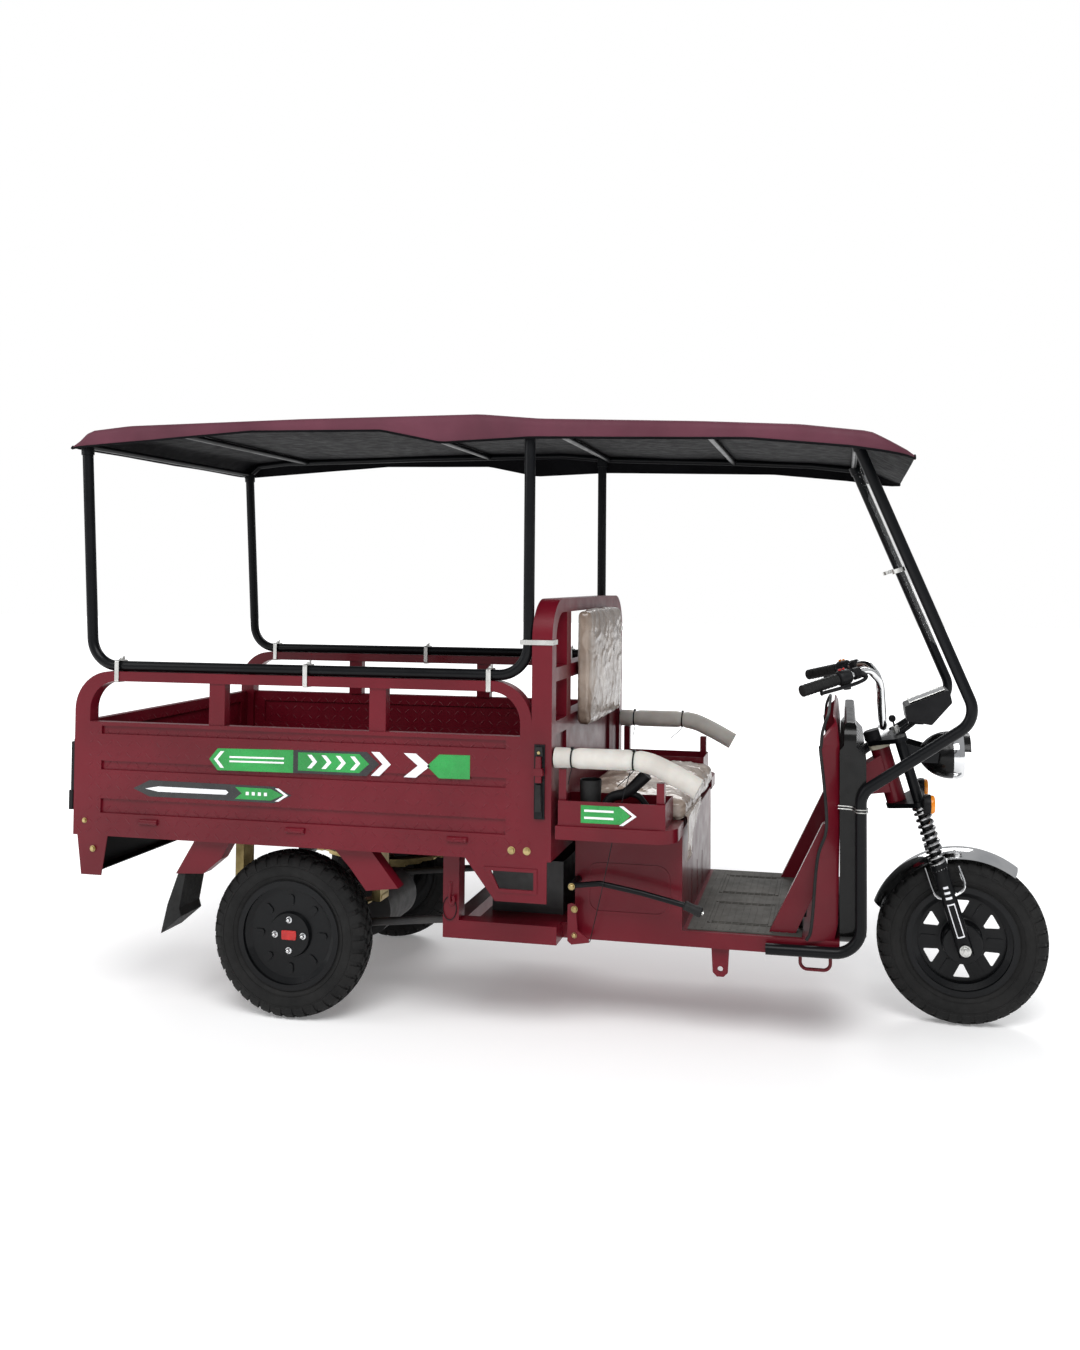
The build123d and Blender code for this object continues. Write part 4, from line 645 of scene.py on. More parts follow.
def make_pad(name, node, crowns, cells, corner, depth, flat_side):
    """A padded form in a node's box: crowned on every side but the one that it rests on."""
    low, high = (Vector(corner_point) for corner_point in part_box(node))
    middle, half = (low + high) / 2, (high - low) / 2
    shape = Shape()
    seen = {}

    def vertex(cube):
        key = tuple(round(c, 5) for c in cube)
        if key in seen:
            return seen[key]
        raw = Vector([c * h for c, h in zip(cube, half)])
        core = Vector([max(-h + corner, min(h - corner, r)) for r, h in zip(raw, half)])
        out = raw - core
        off_core = out.length > least_length
        point = core + out.normalized() * corner if off_core else raw.copy()
        shares = [abs(p) / h for p, h in zip(point, half)]
        inward = Vector((0, 0, 0))
        for axis in range(3):
            first, second = [shares[k] for k in range(3) if k != axis]
            edge = 1 - (1 - first ** 4) * (1 - second ** 4)
            inward[axis] = -math.copysign(crowns[axis] * edge * shares[axis], point[axis])
        point += inward
        normal = (out if off_core else Vector(cube)).normalized()
        if cube.dot(Vector(flat_side)) < 0.999:
            point += normal * crumple(point + middle, depth, crease_scale, len(name) * 0.37)
        limits = [h + bulge_past_box for h in half]
        seen[key] = shape.mesh.verts.new([min(max(p, -h), h) + m for p, h, m in zip(point, limits, middle)])
        return seen[key]

    for axis in range(3):
        first, second = [k for k in range(3) if k != axis]
        for side in (-1, 1):
            for i in range(cells[first]):
                for j in range(cells[second]):
                    corners = []
                    for di, dj in quad_corners:
                        cube = Vector((0, 0, 0))
                        cube[axis] = side
                        cube[first] = -1 + 2 * (i + di) / cells[first]
                        cube[second] = -1 + 2 * (j + dj) / cells[second]
                        corners.append(vertex(cube))
                    shape.faces([corners])
    pad = shape.piece(name, film_wrap, "chassis", (node,), smooth=40)


# Pads: piece, node, crown, cells, corner radius, crease depth and the side that it rests on
pads = (
    ("seat_cushion_wrapped", "seat_cushion", (0.006, 0.008, 0.022), (60, 110, 24), 0.030, 0.0048, (0, 0, -1)),
    ("backrest_pad_wrapped", "backrest_pad", (0.010, 0.006, 0.005), (20, 84, 64), 0.016, 0.0030, (-1, 0, 0)),
)
for row in pads:
    make_pad(*row)

# Foam sleeves on the arm rests, nipped in by cable ties
sleeve_r = 0.030
sleeve_bore_r = 0.0125
sleeve_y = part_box("arm_pads")[1][1] - sleeve_r
sleeve_path = (
    (854, 838), (905, 838), (1000, 838), (1080, 838), (1116, 834), (1150, 824), (1210, 796), (1268, 765),
)
# Ties: place in metres and how far the tail leans back
tie_places = ((at(908, 0, 0).x, 0.0), (at(1084, 0, 0).x, 0.12))
tie_nip, tie_spread = 0.0042, 0.010
tie_r = sleeve_r - 0.0018
tie_profile = ((-0.0024, sleeve_r - 0.0035), (-0.0022, tie_r), (0.0022, tie_r), (0.0024, sleeve_r - 0.0035))
tie_head = Vector((0.004, 0.005, 0.003))


def sleeve_radius(point):
    r = sleeve_r - 0.0006 + 0.0005 * ripple(point, 30, 4)
    for place, _ in tie_places:
        r -= tie_nip * math.exp(-((point.x - place) / tie_spread) ** 2)
    return r


def make_sleeve(side, label, path):
    radii = [sleeve_radius(point) for point in path]
    shape = Shape()
    shape.tube(path, radii, 36, caps=False)
    for end, inner in ((0, 1), (-1, -2)):
        shape.tube([path[end], path[end] + (path[inner] - path[end]) * 2.4], sleeve_bore_r, 24, caps=False)
        profile = ((0, radii[end]), (0.0012, radii[end] - 0.004), (0.0012, 0.016), (0, sleeve_bore_r))
        shape.lathe(profile, path[end], path[end] - path[inner], sides=36)
    sleeve = shape.piece("foam_sleeve_" + label, foam, "chassis", ("arm_pads",), smooth=50)


def make_ties(side, label, path):
    ties = Shape()
    for place, lean in tie_places:
        nearest = min(range(len(path)), key=lambda k: abs(path[k].x - place))
        centre = path[nearest]
        ties.lathe(tie_profile, centre, path[min(nearest + 1, len(path) - 1)] - path[nearest - 1], sides=40)
        head = centre + Vector((0, side * 0.004, sleeve_r - 0.001))
        ties.box(head - tie_head, head + tie_head)
        foot = centre + Vector((0, side * 0.012, -sleeve_r + 0.003))
        middle = foot + Vector((-0.004 - lean * 0.1, side * 0.003, -0.018))
        tip = foot + Vector((-0.010 - lean * 0.3, side * 0.002, -0.046))
        ties.tube(smooth_path([foot, middle, tip], 6), 0.0014, 6)
    ties.piece("cable_ties_" + label, satin_plastic, "chassis")


for side, label in sides:
    arm_path = smooth_path([at(station, side * sleeve_y * 1000, z) for station, z in sleeve_path], 12)
    make_sleeve(side, label, arm_path)
    make_ties(side, label, arm_path)

# Plain stripes and chevrons on the gates and the trays, in place of what the photograph shows there
decal_lift = 0.0004
gate_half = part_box("side_gates")[1][1]
tray_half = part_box("arm_trays")[1][1] - 0.008


def chevron(rear, front, low, high, width):
    """An arrow head that points ahead: a band bent at the middle of its height."""
    middle = (low + high) / 2
    return (
        (rear, high), (rear + width, high), (front, middle),
        (rear + width, low), (rear, low), (front - width, middle),
    )


def bar_between(rear, front, low, high):
    return ((rear, low), (rear, high), (front, high), (front, low))


# Stickers by layer, outermost last: colour, then outlines as stations and heights
gate_layers = (
    (
        ("green", (((-200, 764), (-228, 797), (-200, 830), (50, 834), (50, 766)),)),
        ("black", (((50, 766), (50, 834), (286, 837), (326, 802), (286, 766)),)),
        ("white", (chevron(300, 362, 768, 838, 26), chevron(402, 484, 768, 838, 38))),
        ("green", (((512, 769), (474, 803), (512, 838), (606, 839), (606, 770)),)),
    ),
    (
        ("white", (
            ((-190, 772), (-212, 797), (-190, 822), (-178, 822), (-200, 797), (-178, 772)),
            ((-160, 790), (20, 792), (20, 797), (-160, 795)),
            ((-160, 803), (20, 805), (20, 810), (-160, 808)),
        )),
        ("green", (((66, 774), (66, 828), (262, 830), (294, 802), (262, 774)),)),
    ),
    (
        ("white", tuple(chevron(rear, rear + 32, 782, 822, 14) for rear in (96, 142, 188, 234))),
    ),
)
gate_low_layers = (
    (
        ("black", (((-430, 674), (-486, 697), (-430, 724), (-10, 722), (46, 698), (-10, 673)),)),
    ),
    (
        ("green", (((-140, 680), (-118, 698), (-140, 716), (-22, 715), (18, 698), (-22, 680)),)),
        ("white", (
            ((-400, 690), (-444, 698), (-400, 706), (-170, 705), (-162, 698), (-170, 691)),
            chevron(-8, 34, 678, 717, 12),
        )),
    ),
    (
        ("white", tuple(bar_between(rear, rear + 10, 693, 703) for rear in (-104, -84, -64, -44))),
    ),
)
tray_layers = (
    (
        ("green", (((935, 660), (935, 710), (1050, 710), (1078, 685), (1050, 660)),)),
    ),
    (
        ("white", (
            chevron(1046, 1096, 657, 712, 12),
            bar_between(945, 1030, 672, 678), bar_between(945, 1030, 692, 698),
        )),
    ),
)
sticker_groups = (
    ("gate", gate_half, gate_layers),
    ("gate_low", gate_half, gate_low_layers),
    ("tray", tray_half, tray_layers),
)
sticker_colors = {"green": decal_green, "white": decal_white, "black": decal_black}


def make_sticker(name, color, outlines, y, lift):
    """Thin stickers of one colour on both sides of the vehicle."""
    shape = Shape()
    for outline in outlines:
        for side, _ in sides:
            shape.prism([at(station, side * y * 1000, z) for station, z in outline], (0, side * lift, 0))
    shape.piece(name, sticker_colors[color], "chassis", smooth=0)


for label, y, layers in sticker_groups:
    for level, layer in enumerate(layers):
        for number, (color, outlines) in enumerate(layer):
            name = f"sticker_{label}_{level}_{number}_{color}"
            make_sticker(name, color, outlines, y, decal_lift * (level + 1))

# Fork: the steering axis, the open springs, the stays of the fender, and plain outlines on the sliders
rake = math.radians(17)
axis_up = Vector((-math.sin(rake), 0, math.cos(rake)))
axis_ahead = Vector((math.cos(rake), 0, math.sin(rake)))
head_centre = at(1800, 0, 756)
axle_along = (front_axle - head_centre).dot(axis_up)
leg_offset = (front_axle - head_centre).dot(axis_ahead)
leg_y = 0.092
slider_r = 0.023
slider_top = axle_along + 0.235
crown_top = 0.092 + 0.001 + 0.014
crown_low = -crown_top
coil_turns, coil_steps = 11, 18
coil_r, coil_wire_r = 0.0215, 0.0048
coil_end_gap = 0.006
coil_dead_share = 0.06
mark_low, mark_high = axle_along + 0.038, axle_along + 0.140
mark_half_turn, mark_side_turn, mark_line = 0.50, 0.13, 0.004
mark_lifts = (0.0001, 0.0006)
mark_steps = 6
# Bars over the mark: how far above it, and half their turn
mark_bars = ((0.014, 0.42), (0.030, 0.37), (0.046, 0.32))
mark_bar_height = 0.007


def on_fork(along, forward=0.0, side=0.0):
    return head_centre + axis_up * along + axis_ahead * forward + Vector((0, side, 0))


def make_spring(side, label):
    shape = Shape()
    low, high = slider_top + coil_end_gap, crown_low - coil_end_gap
    points = []
    for k in range(coil_turns * coil_steps + 1):
        turn = 2 * math.pi * k / coil_steps
        share = k / (coil_turns * coil_steps)
        eased = min(max((share - coil_dead_share) / (1 - 2 * coil_dead_share), 0), 1)
        centre = on_fork(low + (high - low) * eased, leg_offset, side * leg_y)
        points.append(centre + axis_ahead * coil_r * math.cos(turn) + Vector((0, coil_r * math.sin(turn), 0)))
    shape.tube(points, coil_wire_r, 8)
    spring = shape.piece("leg_spring_" + label, chrome_grey, "fork", ("fork_springs",))
    seat = Shape()
    ends = [on_fork(along, leg_offset, side * leg_y) for along in (slider_top, slider_top + 0.03)]
    seat.tube(ends, [0.0262, 0.0255], 32)
    seat.piece("spring_seat_" + label, black_paint, "fork")


def slider_patch(shape, side, from_turn, to_turn, low, high):
    """A thin patch on a slider's outer face, between two turns about it and two places along it."""
    way = [from_turn + (to_turn - from_turn) * k / mark_steps for k in range(mark_steps + 1)]
    inner, outer = (slider_r + lift for lift in mark_lifts)
    corners = [(inner, turn) for turn in way] + [(outer, turn) for turn in reversed(way)]
    shape.rings([
        [
            on_fork(along, leg_offset + r * math.sin(turn), side * (leg_y + r * math.cos(turn)))
            for r, turn in corners
        ]
        for along in (low, high)
    ])


def make_slider_mark(side, label):
    """A plain outline and three bars."""
    shape = Shape()
    for start in (mark_low, mark_high - mark_line):
        slider_patch(shape, side, -mark_half_turn, mark_half_turn, start, start + mark_line)
    for start in (-mark_half_turn, mark_half_turn - mark_side_turn):
        slider_patch(shape, side, start, start + mark_side_turn, mark_low + mark_line, mark_high - mark_line)
    for up, half_turn in mark_bars:
        bottom = mark_high + up
        slider_patch(shape, side, -half_turn, half_turn, bottom, bottom + mark_bar_height)
    shape.piece("slider_mark_" + label, decal_white, "fork", smooth=0)


for side, label in sides:
    make_spring(side, label)
for side, label in sides:
    make_slider_mark(side, label)

# Small fittings: tubes (points, radius, sides), lathed profiles (profile, centre, axis, sides) and bolts
def fitting(name, made, body, tubes=(), lathes=(), bolts=()):
    shape = Shape()
    for points, radius, count in tubes:
        shape.tube(points, radius, count)
    for profile, centre, axis, count in lathes:
        shape.lathe(profile, centre, axis, sides=count)
    for bolt in bolts:
        shape.bolt(*bolt)
    shape.piece(name, made, body)


def places(rows):
    return [at(*row) for row in rows]


def mirrored(point, side):
    return Vector((point.x, side * point.y, point.z))


def mirrored_tubes(points, steps, radius, count):
    """A smooth tube on both sides of the vehicle."""
    path = smooth_path(points, steps)
    return [([mirrored(point, side) for point in path], radius, count) for side, _ in sides]


# Bolts and nuts. Side bolts: station, Y and Z in millimetres, and size across flats
side_bolts = (
    (733, 505, 573, 15), (779, 505, 573, 15), (-622, 508, 505, 13), (-655, 505, 590, 11), (816, 516, 856, 9),
    (812, 516, 700, 8),
)
side_bolt_height, side_washer_share = 0.006, 0.75
hub_face_y, hub_nut_circle_r, hub_nut_count = 0.030, 0.0465, 4
hub_nut_dome = ((0.006, 0.0068), (0.010, 0.0055), (0.0125, 0.003), (0.0132, 0.0))
plate_half_length, plate_half_height, plate_depth = 0.024, 0.014, 0.0022
plate_round_r, plate_round_steps = 0.004, 4
plate_corners = ((1, 1), (-1, 1), (-1, -1), (1, -1))
axle_nut_y, axle_end_from, axle_end_to, axle_end_r = 0.1212, 0.128, 0.1365, 0.007
# Size across flats, height and washer radius
hub_nut, axle_nut, clamp_bolt = (0.014, 0.007, 0.010), (0.024, 0.010, 0.017), (0.010, 0.006, 0.008)


def make_hub(side, label):
    """Domed nuts round a small rounded plate."""
    body = "rear_wheel_" + label
    outward = (0, side, 0)
    centre = node_centre("rear_tyre_" + label) + Vector((0, side * hub_face_y, 0))
    nuts = [
        centre + Vector((math.cos(turn), 0, math.sin(turn))) * hub_nut_circle_r for turn in turns(hub_nut_count)
    ]
    fitting(
        "hub_nuts_" + label, chrome, body, lathes=[(hub_nut_dome, place, outward, 16) for place in nuts],
        bolts=[(place, outward, *hub_nut) for place in nuts],
    )
    outline = []
    for quarter, (corner_x, corner_z) in enumerate(plate_corners):
        for k in range(plate_round_steps + 1):
            turn = math.pi / 2 * (quarter + k / plate_round_steps)
            outline.append(centre + Vector((
                corner_x * (plate_half_length - plate_round_r) + plate_round_r * math.cos(turn), 0,
                corner_z * (plate_half_height - plate_round_r) + plate_round_r * math.sin(turn),
            )))
    plate = Shape()
    plate.prism(outline, (0, side * plate_depth, 0))
    plate.piece("hub_plate_" + label, red_lens, body, smooth=0)


fitting("bed_bolts", brassy, "chassis", bolts=[
    (at(station, side * y, z), (0, side, 0), across / 1000, side_bolt_height, across / 1000 * side_washer_share)
    for station, y, z, across in side_bolts for side, _ in sides
])
for side, label in sides:
    make_hub(side, label)
axle_ends = [
    [front_axle + Vector((0, side * y, 0)) for y in (axle_end_from, axle_end_to)] for side, _ in sides
]
fitting(
    "front_axle_nuts", zinc, "fork", [(ends, axle_end_r, 16) for ends in axle_ends],
    bolts=[(front_axle + Vector((0, side * axle_nut_y, 0)), (0, side, 0), *axle_nut) for side, _ in sides],
)

# Handlebar: places along the grip from its inner end, out from the bar and up
grip_tip = at(1550, 290, 1029)
bar_shoulder = at(1740, 140, 1085)
grip_way = (grip_tip - bar_shoulder).normalized()
grip_length = 0.125
pod_radii = [0.014, 0.021, 0.0235, 0.0235, 0.021, 0.014]
pod_tubes = (
    (((0.004,), (0.008,), (0.014,), (0.040,), (0.046,), (0.050,)), pod_radii, 20),
    (((0.028, 0.006, -0.008), (0.028, 0.010, -0.036)), [0.014, 0.011], 14),
    (((0.060,), (0.064,), (0.084,), (0.088,)), [0.0125, 0.018, 0.018, 0.0125], 18),
    (((0.074, 0.014, 0.0), (0.070, 0.034, -0.006)), [0.010, 0.008], 12),
)
button_tubes = (
    (((0.020, -0.006, 0.020), (0.020, -0.008, 0.0265)), [0.006, 0.005], 12),
    (((0.034, -0.006, 0.020), (0.034, -0.008, 0.026)), [0.005, 0.004], 12),
)
lever_places = (
    (0.070, 0.034, -0.006), (0.045, 0.046, -0.010), (0.0, 0.050, -0.012), (-0.06, 0.044, -0.012),
    (-0.112, 0.042, -0.010),
)
lever_r, lever_ball_r = 0.0055, 0.0075
grip_end_profile = ((-0.001, 0.0172), (0.0015, 0.0178), (0.004, 0.017), (0.0055, 0.013), (0.0055, 0.0))
grip_rib_profile = ((-0.002, 0.0170), (-0.001, 0.0180), (0.001, 0.0180), (0.002, 0.0170))
grip_rib_count, grip_rib_start, grip_rib_pitch = 9, 0.012, 0.0125


def on_grip(side, back, out=0.0, up=0.0):
    return mirrored(grip_tip - grip_way * (grip_length + back) + Vector((out, 0, up)), side)


def make_grip(side, label):
    def tubes(rows):
        return [([on_grip(side, *place) for place in row], radii, count) for row, radii, count in rows]

    fitting("switch_pod_" + label, satin_plastic, "fork", tubes(pod_tubes))
    fitting("pod_buttons_" + label, red_lens if side < 0 else orange_lens, "fork", tubes(button_tubes))
    blade = smooth_path([on_grip(side, *place) for place in lever_places], 6)
    radii = [lever_r] * (len(blade) - 1) + [lever_ball_r]
    fitting("hand_lever_" + label, satin_plastic, "fork", [(blade, radii, 10)])
    way = mirrored(grip_way, side)
    lathes = [(grip_end_profile, mirrored(grip_tip, side), way, 24)]
    for k in range(grip_rib_count):
        lathes.append((grip_rib_profile, on_grip(side, -grip_rib_start - grip_rib_pitch * k), way, 24))
    fitting("grip_ribs_" + label, soft_rubber, "fork", lathes=lathes)


for side, label in sides:
    make_grip(side, label)

# Stem cap over the upper crown, ring under it, and the key
cap_profile = ((0, 0.034), (0.004, 0.0345), (0.026, 0.033), (0.030, 0.029), (0.031, 0.0))
head_ring_profile = ((0.078, 0.0302), (0.078, 0.0325), (0.0905, 0.0325), (0.0905, 0.0302))
key_head_profile = ((-0.003, 0.0), (-0.003, 0.011), (0.003, 0.011), (0.003, 0.0))
key_low, key_high, key_neck, key_head = (
    on_fork(crown_top + 0.004, 0.062, -0.020) + axis_up * along for along in (0, 0.022, 0.036, 0.046)
)
fitting("stem_cap", satin_plastic, "fork", lathes=[(cap_profile, on_fork(crown_top, -0.004), axis_up, 32)])
fitting("head_ring", cream, "chassis", lathes=[(head_ring_profile, head_centre, axis_up, 40)])
fitting("key_switch", zinc, "fork", [([key_low, key_high], 0.011, 18)])
fitting(
    "key_head", satin_plastic, "fork", [([key_high, key_neck], 0.0028, 8)],
    [(key_head_profile, key_head, (0, 1, 0.25), 18)],
)

# Lamps: chrome bezel and bowl, signal rims and stalks
ahead_axis = (1, 0, 0)
lamp_centre = at(1996, 0, 815)
bezel_profile = (
    (-0.002, 0.0722), (0.010, 0.0735), (0.027, 0.0700), (0.0305, 0.0665), (0.0305, 0.0610), (0.022, 0.0585),
)
bowl_profile = ((0.0101, 0.0), (0.0101, 0.0575), (0.0103, 0.0577), (0.0104, 0.0))
bulb_profile = ((0.0102, 0.012), (0.017, 0.010), (0.0195, 0.0))
signal_profile = ((-0.004, 0.0), (-0.004, 0.026), (0.004, 0.0295), (0.016, 0.0295), (0.018, 0.0275))
signal_centre = at(1902, 140, 687)
stalk_ends = [signal_centre + Vector((0.004, -0.024, 0)), signal_centre + Vector((-0.012, -0.046, 0.002))]
fitting("lamp_bezel", chrome, "fork", lathes=[(bezel_profile, lamp_centre, ahead_axis, 64)])
fitting("lamp_bowl", chrome, "fork", lathes=[
    (bowl_profile, lamp_centre, ahead_axis, 48), (bulb_profile, lamp_centre, ahead_axis, 24),
])
fitting("signal_rims", satin_plastic, "fork", lathes=[
    (signal_profile, mirrored(signal_centre, side), ahead_axis, 32) for side, _ in sides
])
fitting("signal_stalks", satin_plastic, "fork", [
    ([mirrored(end, side) for end in stalk_ends], 0.008, 12) for side, _ in sides
])

# Instrument cluster: a dark face in a thin rim
cluster_rear, cluster_front = at(1852, 0, 972), at(1976, 0, 1024)
face_corners = ((0, 0.014, -0.058), (1, -0.010, -0.060), (1, -0.010, 0.060), (0, 0.014, 0.058))
face_lift, face_depth, rim_lift, rim_r = 0.0002, 0.0016, 0.0014, 0.0022


def make_cluster():
    way = (cluster_front - cluster_rear).normalized()
    up = Vector((-way.z, 0, way.x))
    ends = (cluster_rear, cluster_front)
    outline = [ends[front] + way * along + Vector((0, y, 0)) for front, along, y in face_corners]
    face = Shape()
    face.prism([point + up * face_lift for point in outline], up * face_depth)
    face.piece("cluster_face", cluster_glass, "fork", smooth=0)
    loop = [point + up * rim_lift for point in outline]
    fitting("cluster_rim", zinc, "fork", [([a, b], rim_r, 8) for a, b in zip(loop, loop[1:] + loop[:1])])


make_cluster()

# Trim: the rubber edge of the shield, the strap round fairing and pillar, and the canopy's clamp bolts
shield_trim = (
    (1563, 371, 334), (1577, 371, 375), (1593, 371, 562), (1618, 371, 648), (1613, 371, 759), (1601, 371, 872),
    (1603, 370, 880), (1606, 366, 915), (1612, 348, 938), (1619, 318, 955), (1622, 280, 961), (1623, 200, 962),
    (1623, 0, 962),
)
strap_loop = (
    (1650, 350.5, 709), (1690, 352, 707), (1700, 378, 705), (1714, 384, 705),
    (1730, 378, 705), (1733, 362, 705), (1731, 348, 705),
)
strap_wires, strap_wire_r = (-0.004, 0.004), 0.0016
strap_path = smooth_path(places(strap_loop), 5)
clamp_tops = [at(station, side * 485, 1091) for station in (-550, 85, 660) for side, _ in sides]
clamp_tail = (Vector((0, 0.012, 0)), Vector((0, 0.012, 0.010)))
shield_trim_r, post_hook_r, fender_stay_r = 0.0045, 0.005, 0.0045
fitting("shield_edge_trim", soft_rubber, "chassis", mirrored_tubes(places(shield_trim), 6, shield_trim_r, 10))
fitting("fairing_strap", zinc, "chassis", [
    ([mirrored(point, side) + Vector((0, 0, up)) for point in ends], strap_wire_r, 6)
    for side, _ in sides for ends in zip(strap_path, strap_path[1:]) for up in strap_wires
])
fitting(
    "clamp_bolts", zinc, "chassis", [([top + end for end in clamp_tail], 0.003, 8) for top in clamp_tops],
    bolts=[(top, (0, 0, 1), *clamp_bolt) for top in clamp_tops],
)

# Cup and holder in the right tray
cup_profile = (
    (0, 0.0), (0, 0.027), (0.118, 0.032), (0.120, 0.031), (0.119, 0.029), (0.010, 0.025), (0.010, 0.0),
)
holder_path = smooth_path(places(
    ((985, -425, 690), (1010, -425, 722), (1050, -424, 735), (1080, -424, 760), (1112, -424, 792))
), 6)
holder_branch = smooth_path(places(((1050, -424, 735), (1085, -420, 728), (1110, -416, 700))), 6)
holder_r, holder_flare = 0.013, 0.006
holder_radii = [holder_r + holder_flare * k / len(holder_path) for k in range(len(holder_path))]
fitting("tray_cup", soft_rubber, "chassis", lathes=[(cup_profile, at(948, -430, 652), (0, 0, 1), 36)])
fitting("tray_holder", satin_plastic, "chassis", [(holder_path, holder_radii, 12), (holder_branch, 0.009, 10)])

# Mat: ribs across it, and two frames inside each other on both sides
mat_rib_count, mat_rib_start, mat_rib_pitch, mat_rib_width, mat_rib_height = 15, 0.018, 0.0205, 0.004, 0.0012
mat_margin = 0.012
mat_frame_y, mat_frame_half = 0.16, 0.11
mat_frame_from, mat_frame_to, mat_frame_line, mat_frame_height = 0.05, 0.24, 0.003, 0.0022


def make_mat_frame(mat, left, right, near, far, z):
    """Four low bars round a rectangle."""
    line = mat_frame_line
    for from_x, from_y, to_x, to_y in (
        (left, near, right, near + line), (left, far - line, right, far),
        (left, near, left + line, far), (right - line, near, right, far),
    ):
        mat.box((from_x, from_y, z), (to_x, to_y, z + mat_frame_height))


def make_mat():
    low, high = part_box("floor_mat")
    z = high[2]
    mat = Shape()
    for number in range(mat_rib_count):
        x = low[0] + mat_rib_start + number * mat_rib_pitch
        mat.box((x, low[1] + mat_margin, z), (x + mat_rib_width, high[1] - mat_margin, z + mat_rib_height))
    for side, _ in sides:
        for inset in (0.0, mat_margin):
            half, middle = mat_frame_half - inset, side * mat_frame_y
            make_mat_frame(mat, low[0] + mat_frame_from + inset, low[0] + mat_frame_to - inset, middle - half,
                           middle + half, z)
    mat.piece("mat_ribs", mat_rubber, "chassis", smooth=0)


make_mat()

# Rubber grip and button of the parking lever
lever_low, lever_end = at(1224, -420, 424), at(1268, -420, 407)
lever_way = (lever_end - lever_low).normalized()
lever_grip_points = [
    lever_low - lever_way * 0.004, lever_low, lever_low + lever_way * 0.020,
    lever_end - lever_way * 0.008, lever_end, lever_end + lever_way * 0.004,
]
lever_button_ends = [lever_end + lever_way * 0.004, lever_end + lever_way * 0.009]
fitting("lever_grip", soft_rubber, "chassis", [
    (lever_grip_points, [0.0095, 0.0135, 0.0128, 0.0155, 0.0155, 0.011], 20),
])
fitting("lever_button", zinc, "chassis", [(lever_button_ends, 0.005, 14)])

# Loose film: a torn end of the seat's wrapping that hangs over its front right corner
drape_rows, drape_columns = 30, 26
drape_width, drape_margin, drape_top = 0.30, 0.012, 0.040
drape_reach, drape_least_reach, drape_taper = 0.120, 0.024, 1.6
drape_off, drape_tuck, drape_furthest = 0.006, 0.004, 0.022
drape_wave, drape_fine_wave, drape_sway = 0.010, 0.004, 0.008
film_thickness = 0.0006


def drape_point(low, high, i, j):
    along = i / drape_rows
    y = low.y + drape_margin + drape_width * along
    down = j / drape_columns * (drape_reach * (1 - along) ** drape_taper + drape_least_reach)
    wave = drape_wave * ripple((y, down, 0), 16, 5.0) * down / 0.1
    x = high.x + drape_off + wave + drape_fine_wave * ripple((y * 3, down, 1), 18, 2.0)
    if j == 0:
        x = high.x - drape_tuck
    sway = drape_sway * ripple((y, down, 4), 9, 1.0)
    return Vector((min(x, high.x + drape_furthest), y + sway, low.z + drape_top - down))


def make_film_drape():
    low, high = (Vector(corner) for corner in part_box("seat_cushion"))
    grid = [[drape_point(low, high, i, j) for j in range(drape_columns + 1)] for i in range(drape_rows + 1)]
    shape = Shape()
    outer = [[shape.mesh.verts.new(point) for point in line] for line in grid]
    for line, after in zip(outer, outer[1:]):
        shape.faces([line[j], after[j], after[j + 1], line[j + 1]] for j in range(drape_columns))
    film = shape.piece("seat_film_drape", film_sheet, "chassis", smooth=60)
    thicken = film.modifiers.new("thickness", "SOLIDIFY")
    thicken.thickness = film_thickness


make_film_drape()

# Stays of the front fender: where each leaves its clamp and where it ends, as stations and heights
fender_stays = (((1938, 406), (1909, 480)), ((2020, 435), (2005, 491)))
stay_clamp = (1979, 100, 404)
stay_bend_y = 92
stay_end_y = min(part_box("front_fender")[1][1] * 1000 - 3, 70)
fitting("fender_stays", chrome, "fork", [
    tube for bend, end in fender_stays for tube in mirrored_tubes(
        places((stay_clamp, (bend[0], stay_bend_y, bend[1]), (end[0], stay_end_y, end[1]))), 5,
        fender_stay_r, 10,
    )
])

# Hooks and wire rings on the bed's posts, and the taut line under the right arm rest
post_hook = (
    (523, 418, 452), (522, 426, 440), (520, 427, 404), (527, 430, 386), (535, 434, 396), (533, 435, 412),
)
wire_r, wire_sides = 0.0014, 6
wire_ring_length, wire_ring_height, wire_ring_steps = 0.021, 0.034, 28
tie_line_ends = (at(1074, -484, 806), at(940, -396, 292))
tie_line_bulge = (0, 0.004, 0.007, 0.008, 0.007, 0.005, 0.003, 0.001, 0, 0, 0)
tie_line_scale = 3.2


def make_wires():
    rings = Shape()
    for side, _ in sides:
        centre = at(520, side * 428, 372)
        rings.tube([
            centre + Vector((wire_ring_length * math.cos(turn), 0, wire_ring_height * math.sin(turn)))
            for turn in turns(wire_ring_steps, full=True)
        ], wire_r, wire_sides, caps=False)
    rings.piece("post_wire_rings", satin_plastic, "chassis")
    start, end = tie_line_ends
    points = [
        start + (end - start) * k / (len(tie_line_bulge) - 1) - Vector((0, out * tie_line_scale, 0))
        for k, out in enumerate(tie_line_bulge)
    ]
    fitting("arm_tie_line", satin_plastic, "chassis", [(points, wire_r, wire_sides)])


fitting("post_hooks", crimson, "chassis", mirrored_tubes(places(post_hook), 6, post_hook_r, 10))
make_wires()

